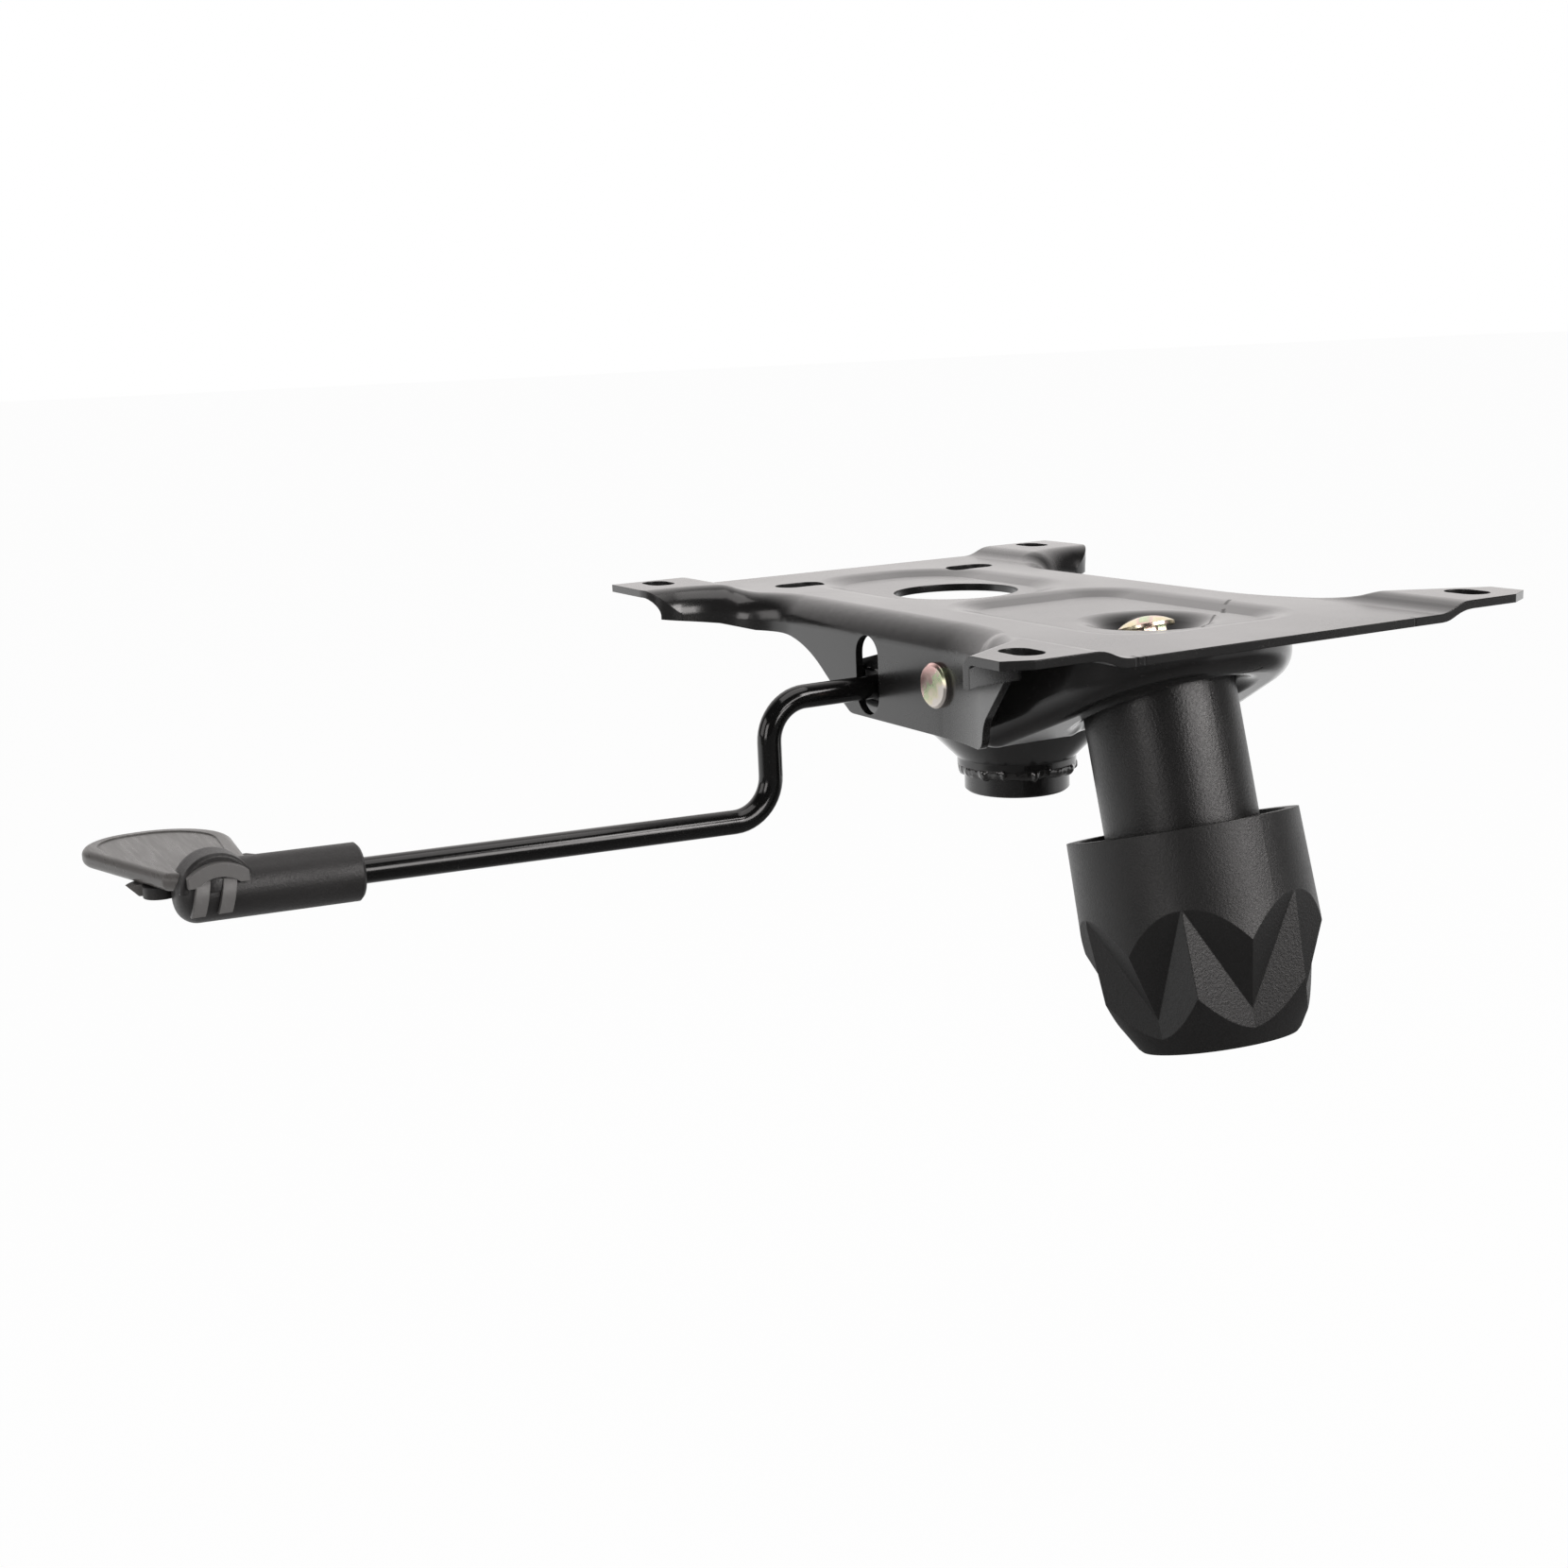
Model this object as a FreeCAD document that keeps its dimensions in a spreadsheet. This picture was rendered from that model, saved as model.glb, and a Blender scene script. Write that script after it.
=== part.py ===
import FreeCAD
import Part
import math
import os

V = FreeCAD.Vector

# Tilt mechanism for an office chair: a stamped seat plate that rocks on a housing with a
# socket for the gas column. Millimetres. The origin is the middle of the socket's mouth,
# +Z up along the socket, +X towards the tension knob, -Y towards the lever.

SIZES = {
    # Seat plate
    "plate_top": 60.0,
    "plate_sheet": 2.3,
    "plate_front": 119.5,
    "plate_rear": -101.8,
    "ear_reach": 87.5,
    "ear_rise": 2.7,
    "ear_step_inner": 54.0,
    "ear_step_outer": 60.0,
    "ear_step_radius": 12.0,
    "ear_corner": 4.0,
    "ear_corner_run": 7.5,
    "ear_tip_radius": 1.5,
    "flange_half": 53.0,
    "rear_ear_inner": -71.0,
    "rear_ear_radius": 26.0,
    "rear_ear_corner": 10.0,
    "waist_front": 50.0,
    "waist_radius": 90.0,
    "front_ear_root": 85.0,
    "front_ear_root_half": 61.5,
    "front_ear_radius": 6.0,
    "front_ear_tip": 100.5,
    "bend_rear": 8.0,
    "bend_waist": 8.0,
    "bend_front": 3.4,
    # Lower edge of the flanges, from the rear ear to the front ear
    "lip_bottom_rear": 53.4,
    "lip_shoulder": -38.0,
    "lip_shoulder_bottom": 48.5,
    "lip_shoulder_radius": 45.0,
    "flange_rear": -10.5,
    "flange_bottom": 28.6,
    "flange_corner": 5.5,
    "flange_front": 62.0,
    "flange_front_corner": 4.0,
    "flange_throat": 63.3,
    "flange_throat_bottom": 36.3,
    "flange_throat_radius": 10.0,
    "lip_front": 78.5,
    "lip_front_bottom": 50.0,
    "lip_front_radius": 1.0,
    "lip_bottom_front": 54.3,
    "far_flange_front": 38.0,
    "far_flange_corner": 8.0,
    "far_lip_front": 63.0,
    "far_lip_front_bottom": 48.2,
    "far_lip_front_radius": 10.0,
    "far_lip_bottom_front": 57.6,
    "ear_lip_tip": 54.1,
    "ear_lip_mid": 51.2,
    "ear_lip_mid_half": 66.0,
    "ear_lip_root": 48.2,
    "ear_lip_root_half": 55.0,
    "ear_lip_front": -58.0,
    # Recesses and holes of the seat plate
    "recess_depth": 1.8,
    "recess_slope_run": 7.5,
    "recess_floor_bend": 1.0,
    "recess_rim_bend": 20.0,
    "front_recess_rear": 11.0,
    "front_recess_front": 85.0,
    "front_recess_half": 24.5,
    "front_recess_radius": 9.0,
    "rear_recess_rear": -76.0,
    "rear_recess_front": -7.0,
    "rear_recess_half": 23.0,
    "rear_recess_radius": 19.0,
    "view_hole_centre": -31.5,
    "view_hole_radius": 19.7,
    "dimple_depth": 6.0,
    "dimple_floor_radius": 9.6,
    "dimple_rim_radius": 17.0,
    "dimple_floor_bend": 2.0,
    "dimple_rim_bend": 9.0,
    "seat_slot_pitch_x": 200.0,
    "seat_slot_pitch_y": 150.0,
    "seat_slot_centre": 7.1,
    "seat_slot_width": 8.6,
    "seat_slot_length": 13.4,
    "inner_slot_centre": -72.7,
    "inner_slot_pitch": 67.0,
    "inner_slot_width": 11.0,
    "inner_slot_length": 17.0,
    "rod_slot_width": 12.3,
    "rod_slot_bottom": 29.5,
    "rod_slot_top": 53.0,
    # Pivot of the seat plate on the housing
    "pivot_along": 37.0,
    "pivot_height": 43.0,
    "pin_radius": 4.0,
    "pin_head_radius": 6.4,
    "pin_head_height": 1.9,
    "pin_head_chamfer": 0.7,
    "pin_running_gap": 0.05,
    "bush_wall": 1.6,
    "bush_collar_radius": 8.5,
    "bush_collar": 1.5,
    "spacer_radius": 5.6,
    # Housing
    "housing_sheet": 2.5,
    "housing_side_gap": 1.8,
    "housing_rear": -34.0,
    "housing_rear_radius": 14.0,
    "housing_shoulder": 44.0,
    "housing_shoulder_radius": 40.0,
    "housing_nose": 97.0,
    "housing_nose_half": 30.0,
    "housing_nose_radius": 33.0,
    "housing_bottom": 25.2,
    "housing_bend": 7.5,
    "slope_start": 48.0,
    "slope_degrees": 25.0,
    "rim_front_height": 54.6,
    "rim_front": 31.0,
    "rim_mid": 20.0,
    "rim_mid_height": 52.2,
    "rim_low": -9.8,
    "rim_low_height": 44.6,
    "rim_rear": -22.0,
    "rim_rear_height": 39.0,
    # Socket for the gas column
    "socket_radius": 16.15,
    "socket_height": 29.0,
    "socket_bore_radius": 14.15,
    "socket_bore_length": 12.0,
    "socket_bore_top_radius": 13.75,
    "socket_edge": 0.6,
    "neck_radius": 18.3,
    "neck_bottom": 8.5,
    "neck_straight": 2.0,
    "weld_radius": 19.0,
    "weld_bottom": 5.4,
    # Tension bolt, tilted about Y, sizes measured down its axis from the top of its head
    "bolt_head_along": 61.03,
    "bolt_head_height": 59.06,
    "bolt_tilt": 15.7,
    "bolt_head_radius": 8.0,
    "bolt_head_thickness": 3.5,
    "bolt_head_edge": 1.0,
    "bolt_neck_side": 7.8,
    "bolt_neck_length": 5.0,
    "bolt_radius": 4.0,
    "bolt_length": 103.0,
    "bolt_slot_width": 9.2,
    "bolt_slot_length": 13.6,
    "bolt_hole_gap": 0.6,
    # Spring, sleeve and cap
    "seat_depth": 17.0,
    "sleeve_radius": 21.3,
    "sleeve_wall": 2.0,
    "sleeve_end": 81.0,
    "sleeve_lip": 1.8,
    "sleeve_lip_bore": 12.0,
    "sleeve_pocket_gap": 1.3,
    "pocket_rim_bend": 4.5,
    "spring_wire": 5.5,
    "spring_sleeve_gap": 1.1,
    "spring_seat_gap": 0.3,
    "spring_turns": 8.0,
    "spring_closed_pitch": 6.1,
    "cap_top": 85.0,
    "cap_flange": 3.0,
    "cap_sleeve_gap": 1.0,
    "cap_guide_radius": 10.6,
    "cap_guide_height": 8.0,
    "washer_radius": 12.0,
    "washer_thickness": 1.5,
    # Tension knob
    "knob_top": 58.6,
    "knob_bottom": 118.6,
    "knob_rim_radius": 31.9,
    "knob_belly_radius": 32.6,
    "knob_belly": 91.0,
    "knob_cone_radius": 31.9,
    "knob_cone": 101.5,
    "knob_base_radius": 22.3,
    "knob_base_edge": 1.0,
    "knob_mouth_radius": 28.6,
    "knob_throat_radius": 23.5,
    "knob_throat": 79.0,
    "knob_floor": 99.0,
    "knob_boss_radius": 16.0,
    "knob_running_gap": 0.1,
    "knob_base_wall": 3.5,
    "knob_ridges": 6.0,
    "knob_ridge_angle": 14.0,
    "knob_ridge_top": 79.0,
    "knob_ridge_low": 102.0,
    "knob_ridge_low_radius": 31.0,
    "knob_tongue_tip": 90.0,
    "knob_keel_low": 108.5,
    "knob_keel_low_radius": 24.9,
    "nut_flats": 13.0,
    "nut_height": 6.5,
    "nut_sink": 0.8,
    "nut_pocket_gap": 0.1,
    # Lever
    "rod_radius": 3.5,
    "rod_height": 37.6,
    "rod_inner_end": 8.0,
    "rod_flat_length": 18.0,
    "rod_flat_depth": 1.0,
    "rod_drop_half": 86.6,
    "rod_low_height": 3.6,
    "rod_outer_end": 240.0,
    "rod_outer_height": 9.2,
    "rod_bend": 12.0,
    "lever_bush_width": 11.8,
    "lever_bush_depth": 8.4,
    "lever_bush_flange_gap": 0.8,
    "lever_bush_inner": 43.3,
    "lever_bush_gap": 0.06,
    "lever_bush_play": 0.55,
    "stop_ring_radius": 6.4,
    "stop_ring_length": 2.2,
    "lever_pull": 8.0,
    "lever_pull_gap": 0.3,
    # Handle
    "grip_radius": 7.7,
    "grip_inner": 209.0,
    "grip_outer": 256.0,
    "grip_round": 5.5,
    "grip_edge": 0.8,
    "hub_half": 246.3,
    "hub_height": 10.9,
    "hub_radius": 9.2,
    "hub_rear": -1.0,
    "hub_front": 6.4,
    "hub_edge": 1.0,
    "web_reach": 16.5,
    "web_half": 233.5,
    "web_slope": 0.72,
    "web_top": 13.5,
    "web_thickness": 2.4,
    "paddle_top": 15.5,
    "paddle_thickness": 4.6,
    "paddle_edge": 1.9,
    "paddle_rim": 4.0,
    "paddle_sunk": 0.3,
    "paddle_rear": -53.0,
    "paddle_rear_inner": 231.6,
    "paddle_rear_outer": 275.4,
    "paddle_inner_radius": 21.0,
    "paddle_outer_radius": 13.6,
    "paddle_corner": 0.3,
    "paddle_corner_half": 258.2,
    "paddle_front": 4.5,
    "paddle_front_outer": 253.8,
    "paddle_front_inner": 236.6,
    "paddle_front_radius": 1.5,
    "clip_wall": 2.2,
    "clip_width": 15.0,
    "clip_arch_height": 6.8,
    "clip_arch_outer": 11.3,
    "clip_arch_inner": 7.8,
    "clip_band_low": 12.6,
    "clip_hook_wall": 1.5,
    "clip_hook_width": 3.4,
    "clip_hook_space": 3.2,
    "clip_hook_low": 5.2,
    "clip_hook_high": 14.0,
    "clip_hook_lean": 2.1,
    "post_along": -9.0,
    "post_half": 257.0,
    "post_radius": 4.6,
    "post_height": 3.0,
    "skirt_low_radius": 5.8,
    "skirt_top_radius": 9.0,
    "skirt_front_degrees": 28.7,
}

FAR = 300.0
TINY = 1e-4


def make_sheet(doc):
    """The spreadsheet that holds every driving size."""
    sheet = doc.addObject("Spreadsheet::Sheet", "Sizes")
    for row, (alias, value) in enumerate(SIZES.items(), start=1):
        sheet.set(f"A{row}", alias)
        sheet.set(f"B{row}", str(value))
        sheet.setAlias(f"B{row}", alias)
    doc.recompute()
    return sheet


DOC = FreeCAD.newDocument("tilt_mechanism")
SHEET = make_sheet(DOC)


def size(alias):
    """A driving size, read from the spreadsheet."""
    return float(SHEET.get(alias))


# Helpers for paths and solids


def shift_path(points, radii, distance):
    """An open path moved to its left by a distance, with its corner radii."""
    ways = [(b - a).normalize() for a, b in zip(points, points[1:])]
    sides = [V(-way.y, way.x, 0) for way in ways]
    moved = [points[0] + sides[0] * distance]
    new_radii = []
    for index, radius in enumerate(radii, start=1):
        before, after = sides[index - 1], sides[index]
        reach = distance / (1 + before.dot(after))
        moved.append(points[index] + (before + after) * reach)
        turn = ways[index - 1].cross(ways[index]).z
        new_radii.append(radius - math.copysign(distance, turn))
    moved.append(points[-1] + sides[-1] * distance)
    return moved, new_radii


def corner_arc(before, corner, after, radius):
    """The arc that rounds a corner, as its start, middle and end."""
    way_in = (corner - before).normalize()
    way_out = (after - corner).normalize()
    turn = way_in.getAngle(way_out)
    tangent = radius * math.tan(turn / 2)
    start = corner - way_in * tangent
    end = corner + way_out * tangent
    inwards = (way_out - way_in).normalize()
    centre = corner + inwards * (radius / math.cos(turn / 2))
    return start, centre - inwards * radius, end


def path_edges(points, radii, closed=False):
    """Straight runs joined by tangent arcs; a closed path has a radius for each point."""
    count = len(points)
    corners = []
    for index, point in enumerate(points):
        ends = not closed and index in (0, count - 1)
        radius = 0.0 if ends else radii[index if closed else index - 1]
        if radius <= TINY:
            corners.append((point, None, point))
        else:
            corners.append(corner_arc(points[index - 1], point, points[(index + 1) % count], radius))
    edges = []
    for index, (start, middle, end) in enumerate(corners):
        if middle:
            edges.append(Part.Arc(start, middle, end).toShape())
        following = corners[(index + 1) % count][0]
        if (closed or index < count - 1) and end.distanceToPoint(following) > TINY:
            edges.append(Part.LineSegment(end, following).toShape())
    return edges


def flat_face(points, radii, plane="XY"):
    """A face inside a closed path, drawn in XY and then turned to the named plane."""
    wire = Part.Wire(Part.__sortEdges__(path_edges(points, radii, closed=True)))
    if plane == "XZ":
        wire.rotate(V(), V(1, 0, 0), 90)
    if plane == "YZ":
        wire.rotate(V(), V(1, 1, 1), 120)
    return Part.Face(wire)


def prism(points, radii, low, high, plane="XY"):
    """A flat face pushed through from low to high along the plane's normal."""
    face = flat_face(points, radii, plane)
    normal = {"XY": V(0, 0, 1), "XZ": V(0, 1, 0), "YZ": V(1, 0, 0)}[plane]
    face.translate(normal * low)
    return face.extrude(normal * (high - low))


def half_turned(profile):
    """A solid of revolution about Z from (radius, height) corners."""
    corners = [V(radius, 0, height) for radius, height in profile]
    face = Part.Face(Part.makePolygon(corners + corners[:1]))
    return face.revolve(V(), V(0, 0, 1), 360)


def rod_along(start, end, radius):
    """A round bar between two points."""
    return Part.makeCylinder(radius, start.distanceToPoint(end), start, end - start)


def slot_prism(length, width, depth, centre, along="X"):
    """A round-ended slot cutter, standing on Z about a centre."""
    straight = (length - width) / 2
    corners = [V(-straight - width / 2, -width / 2), V(straight + width / 2, -width / 2),
               V(straight + width / 2, width / 2), V(-straight - width / 2, width / 2)]
    cutter = prism(corners, [width / 2 - TINY] * 4, -depth / 2, depth / 2)
    if along == "Y":
        cutter.rotate(V(), V(0, 0, 1), 90)
    cutter.translate(centre)
    return cutter


def add_node(name, shape, placement=None):
    """A sub-part whose shape is set from the sheet's sizes."""
    node = DOC.addObject("Part::Feature", name)
    node.Label = name
    node.Shape = shape
    if placement:
        node.Placement = placement
    return node


def add_cylinder(name, radius, length):
    """A cylinder primitive, bound to the sheet by two expressions."""
    solid = DOC.addObject("Part::Cylinder", name)
    solid.setExpression("Radius", radius)
    solid.setExpression("Height", length)
    return solid


def add_boolean(kind, name, base, tool):
    """A cut, fuse or common of two objects of the document."""
    result = DOC.addObject(f"Part::{kind}", name)
    result.Base = base
    result.Tool = tool
    return result


# Frames that several pieces share


def bolt_placement():
    """The frame of the tension bolt: its origin is the head's top, -Z runs down the bolt."""
    head = V(size("bolt_head_along"), 0, size("bolt_head_height"))
    return FreeCAD.Placement(head, FreeCAD.Rotation(V(0, 1, 0), -size("bolt_tilt")))


def on_bolt(depth, side=0.0):
    """A point at a depth down the bolt and to the side of it, in the part's frame."""
    return bolt_placement().multVec(V(side, 0, -depth))


def bolt_bar(radius, top, bottom):
    """A round bar on the bolt's axis between two depths."""
    return rod_along(on_bolt(top), on_bolt(bottom), radius)


def bolt_along_at(height):
    """X of the bolt's axis at a height."""
    drop = size("bolt_head_height") - height
    return size("bolt_head_along") + drop * math.tan(math.radians(size("bolt_tilt")))


def lever_placement():
    """The frame of the handle: its origin is where the grip starts, +Z outwards and +Y up."""
    slope = lever_slope()
    inner = size("grip_inner")
    height = size("rod_low_height") + (inner - size("rod_drop_half")) * math.tan(slope)
    return FreeCAD.Placement(V(0, -inner, height), FreeCAD.Rotation(V(1, 0, 0), 90 - math.degrees(slope)))


def lever_slope():
    """The rise of the rod's lower run, in radians."""
    rise = size("rod_outer_height") - size("rod_low_height")
    return math.atan2(rise, size("rod_outer_end") - size("rod_drop_half"))


# Seat plate


def side_path(distance):
    """The near side of the seat plate in plan, moved inwards, from the rear ear forwards."""
    half = size("flange_half")
    root = V(size("front_ear_root"), -size("front_ear_root_half"))
    tip = V(size("front_ear_tip"), -size("ear_reach"))
    points = [V(size("rear_ear_inner"), -FAR), V(size("rear_ear_inner"), -half),
              V(size("waist_front"), -half), root, root + (tip - root) * (FAR / tip.Length)]
    radii = [size("rear_ear_radius"), size("waist_radius"), size("front_ear_radius")]
    return shift_path(points, radii, distance)


def side_bite(distance, low, high):
    """The space outside one flange, which is taken from the plate's block."""
    points, radii = side_path(distance)
    return prism(points, [0.0] + radii + [0.0], low, high)


def mirrored(shape):
    """The same shape on the far side."""
    return shape.mirror(V(), V(0, 1, 0))


def step_path(distance):
    """The plate's top seen along X: level in the middle, with both ears raised."""
    top = size("plate_top")
    ear = top + size("ear_rise")
    inner, outer = size("ear_step_inner"), size("ear_step_outer")
    points = [V(-FAR, ear), V(-outer, ear), V(-inner, top), V(inner, top), V(outer, ear), V(FAR, ear)]
    return shift_path(points, [size("ear_step_radius")] * 4, -distance)


def trough(distance):
    """The space above the plate's top surface."""
    points, radii = step_path(distance)
    points = points + [V(FAR, FAR), V(-FAR, FAR)]
    return prism(points, [0.0] + radii + [0.0] * 3, -FAR, FAR, "YZ")


def plate_block(distance, margin):
    """The plate and its flanges as one filled block; distance shrinks it to its inside."""
    low = size("flange_bottom") - size("plate_sheet") - margin
    rear, front = size("plate_rear") - margin, size("plate_front") + margin
    reach = size("ear_reach") + margin
    high = size("plate_top") + 2 * size("ear_rise")
    corners = [V(rear, -reach), V(front, -reach), V(front, reach), V(rear, reach)]
    block = prism(corners, [0.0] * 4, low, high)
    bite = side_bite(distance, low, high)
    return block.cut([bite, mirrored(bite), trough(distance)])


def bend_edges(block, distance):
    """The top edges that follow the two side paths."""
    points, radii = side_path(distance)
    path = Part.Wire(Part.__sortEdges__(path_edges(points, radii)))
    floor = size("plate_top") - distance - TINY
    chosen = []
    for index, edge in enumerate(block.Edges, start=1):
        middle = edge.valueAt((edge.FirstParameter + edge.LastParameter) / 2)
        near = Part.Vertex(V(middle.x, -abs(middle.y), 0))
        if middle.z > floor and near.distToShape(path)[0] < TINY * 10:
            chosen.append((index, edge))
    return chosen


def bend_radius_at(along):
    """The bend's outer radius: widest at the rear ear, tight at the front ear."""
    waist, root = size("waist_front"), size("front_ear_root")
    if along < size("rear_ear_inner") + size("rear_ear_radius"):
        return size("bend_rear")
    if along <= waist:
        return size("bend_waist")
    if along >= root:
        return size("bend_front")
    share = (along - waist) / (root - waist)
    return size("bend_waist") + share * (size("bend_front") - size("bend_waist"))


def rounded_block(name, distance, margin):
    """The plate's block with the bends over its flanges."""
    block = DOC.addObject("Part::Feature", f"{name}_block")
    block.Shape = plate_block(distance, margin)
    rounded = DOC.addObject("Part::Fillet", name)
    rounded.Base = block
    edges = []
    for index, edge in bend_edges(block.Shape, distance):
        ends = [bend_radius_at(vertex.X) - distance for vertex in edge.Vertexes]
        edges.append((index, ends[0], ends[-1]))
    rounded.Edges = edges
    DOC.recompute()
    return rounded


def pressed_section(floor_reach, depth, run, bends, top, distance):
    """Half the section of a pressing, from its middle line out; distance gives its underside."""
    lean = math.atan2(depth, run)
    floor_bend, rim_bend = bends
    straight = (depth - (floor_bend + rim_bend) * (1 - math.cos(lean))) / math.sin(lean)
    start = floor_reach - floor_bend * math.tan(lean / 2)
    reach = start + (floor_bend + rim_bend) * math.sin(lean) + straight * math.cos(lean)
    low_centre = V(start, 0, top - depth + floor_bend)
    high_centre = V(reach, 0, top - rim_bend)
    ways = [V(math.sin(turn), 0, -math.cos(turn)) for turn in (0.0, lean / 2, lean)]
    low = [low_centre + way * (floor_bend + distance) for way in ways]
    high = [high_centre - way * (rim_bend - distance) for way in reversed(ways)]
    lid = top + depth
    corners = [high[2], V(reach, 0, lid), V(0, 0, lid), V(0, 0, low[0].z), low[0]]
    edges = [Part.Arc(*low).toShape(), Part.LineSegment(low[2], high[0]).toShape(), Part.Arc(*high).toShape()]
    edges += [Part.LineSegment(a, b).toShape() for a, b in zip(corners, corners[1:])]
    return Part.Face(Part.Wire(Part.__sortEdges__(edges)))


def recess(rear, front, half, radius, distance):
    """A shallow pressed recess; distance gives the same recess on the plate's underside."""
    bends = (size("recess_floor_bend"), size("recess_rim_bend"))
    top = size("plate_top")
    section = pressed_section(radius, size("recess_depth"), size("recess_slope_run"), bends, top, distance)
    centres = [V(front - radius, half - radius), V(rear + radius, half - radius),
               V(rear + radius, radius - half), V(front - radius, radius - half)]
    low, high = section.BoundBox.ZMin, section.BoundBox.ZMax
    core = Part.makeBox(centres[0].x - centres[2].x, centres[0].y - centres[2].y, high - low,
                        centres[2] + V(0, 0, low))
    pieces = []
    for quarter, centre in enumerate(centres):
        turned = section.copy()
        turned.rotate(V(), V(0, 0, 1), 90 * quarter)
        turned.translate(centre)
        pieces.append(turned.revolve(centre, V(0, 0, 1), 90))
        pieces.append(turned.extrude(centres[quarter - 1] - centre))
    return core.fuse(pieces).removeSplitter()


def dimple(distance):
    """The round dimple under the bolt's head."""
    depth, floor_radius = size("dimple_depth"), size("dimple_floor_radius")
    bends = (size("dimple_floor_bend"), size("dimple_rim_bend"))
    run = size("dimple_rim_radius") - floor_radius
    section = pressed_section(floor_radius, depth, run, bends, dimple_floor() + depth, distance)
    turned = section.revolve(V(), V(0, 0, 1), 360)
    turned.translate(V(bolt_along_at(dimple_floor()), 0, 0))
    return turned


def dimple_floor():
    """Height of the dimple's floor."""
    return size("plate_top") - size("recess_depth") - size("dimple_depth")


def pressed_shapes(distance):
    """All recesses of the plate, at its top or, by the sheet's distance, under it."""
    front = recess(size("front_recess_rear"), size("front_recess_front"), size("front_recess_half"),
                   size("front_recess_radius"), distance)
    rear = recess(size("rear_recess_rear"), size("rear_recess_front"), size("rear_recess_half"),
                  size("rear_recess_radius"), distance)
    return [front, rear, dimple(distance)]


def rear_lip_path():
    """The lower edge of both flanges at the rear, as corners and radii."""
    points = [V(-FAR, size("lip_bottom_rear")), V(size("lip_shoulder"), size("lip_shoulder_bottom")),
              V(size("flange_rear"), size("flange_bottom"))]
    return points, [0.0, size("lip_shoulder_radius"), size("flange_corner")]


def below_near_flange():
    """The space under the near flange's lower edge."""
    points, radii = rear_lip_path()
    points += [V(size("flange_front"), size("flange_bottom")),
               V(size("flange_throat"), size("flange_throat_bottom")),
               V(size("lip_front"), size("lip_front_bottom"))]
    radii += [size("flange_front_corner"), size("flange_throat_radius"), size("lip_front_radius")]
    return below_lip(points, radii, size("lip_bottom_front"), (-FAR, 0))


def below_far_flange():
    """The space under the far flange, which ends sooner towards the front."""
    points, radii = rear_lip_path()
    points += [V(size("far_flange_front"), size("flange_bottom")),
               V(size("far_lip_front"), size("far_lip_front_bottom"))]
    radii += [size("far_flange_corner"), size("far_lip_front_radius")]
    return below_lip(points, radii, size("far_lip_bottom_front"), (0, FAR))


def below_lip(points, radii, ear_lip, span):
    """Closes a lower edge path to a cutter across a span, with the front ear's lip edge."""
    front = [V(size("front_ear_tip"), ear_lip), V(FAR, ear_lip)]
    closing = [V(FAR, -FAR), V(-FAR, -FAR)]
    return prism(points + front + closing, radii + [0.0] * 4, *span, "XZ")


def below_rear_ears():
    """The space under the rear ears' lips, which get shallower outwards."""
    points = [V(-FAR, size("ear_lip_tip")), V(-size("ear_reach"), size("ear_lip_tip")),
              V(-size("ear_lip_mid_half"), size("ear_lip_mid")),
              V(-size("ear_lip_root_half"), size("ear_lip_root")),
              V(-size("ear_lip_root_half"), -FAR), V(-FAR, -FAR)]
    near = prism(points, [0.0] * len(points), -FAR, size("ear_lip_front"), "YZ")
    return [near, mirrored(near)]


def plate_openings():
    """Slots and holes of the seat plate."""
    top = size("plate_top")
    through = 4 * (size("recess_depth") + size("dimple_depth"))
    cutters = []
    for side in (-1, 1):
        for end in (-1, 1):
            centre = V(size("seat_slot_centre") + end * size("seat_slot_pitch_x") / 2,
                       side * size("seat_slot_pitch_y") / 2, top)
            cutters.append(slot_prism(size("seat_slot_length"), size("seat_slot_width"), through, centre))
        inner = V(size("inner_slot_centre"), side * size("inner_slot_pitch") / 2, top)
        cutters.append(slot_prism(size("inner_slot_length"), size("inner_slot_width"), through, inner, "Y"))
    cutters.append(Part.makeCylinder(size("view_hole_radius"), 2 * through,
                                     V(size("view_hole_centre"), 0, top - through)))
    bolt_hole = V(bolt_along_at(dimple_floor() - size("plate_sheet") / 2), 0, top)
    cutters.append(slot_prism(size("bolt_slot_length"), size("bolt_slot_width"), through, bolt_hole))
    cutters.append(rod_along(pivot_point(-FAR), pivot_point(FAR), size("pin_radius")))
    cutters.append(rod_slot())
    return cutters


def rod_slot():
    """The upright slot in the near flange that the lever's rod passes."""
    length = size("rod_slot_top") - size("rod_slot_bottom")
    cutter = slot_prism(length, size("rod_slot_width"), 4 * size("plate_sheet"), V())
    cutter.rotate(V(), V(0, 1, 0), 90)
    cutter.rotate(V(), V(0, 0, 1), 90)
    middle = (size("rod_slot_top") + size("rod_slot_bottom")) / 2
    cutter.translate(V(0, -size("flange_half"), middle))
    return cutter


def pivot_point(across):
    """A point on the pivot's axis."""
    return V(size("pivot_along"), across, size("pivot_height"))


def ear_corner_cutters():
    """Cuts the outer front corner of each front ear."""
    front, reach = size("plate_front"), size("ear_reach")
    corners = [V(front - size("ear_corner"), -reach), V(front, -reach + size("ear_corner_run")),
               V(FAR, -reach + size("ear_corner_run")), V(FAR, -FAR), V(front - size("ear_corner"), -FAR)]
    near = prism(corners, [0.0] * 5, 0, FAR)
    return [near, mirrored(near)]


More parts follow.
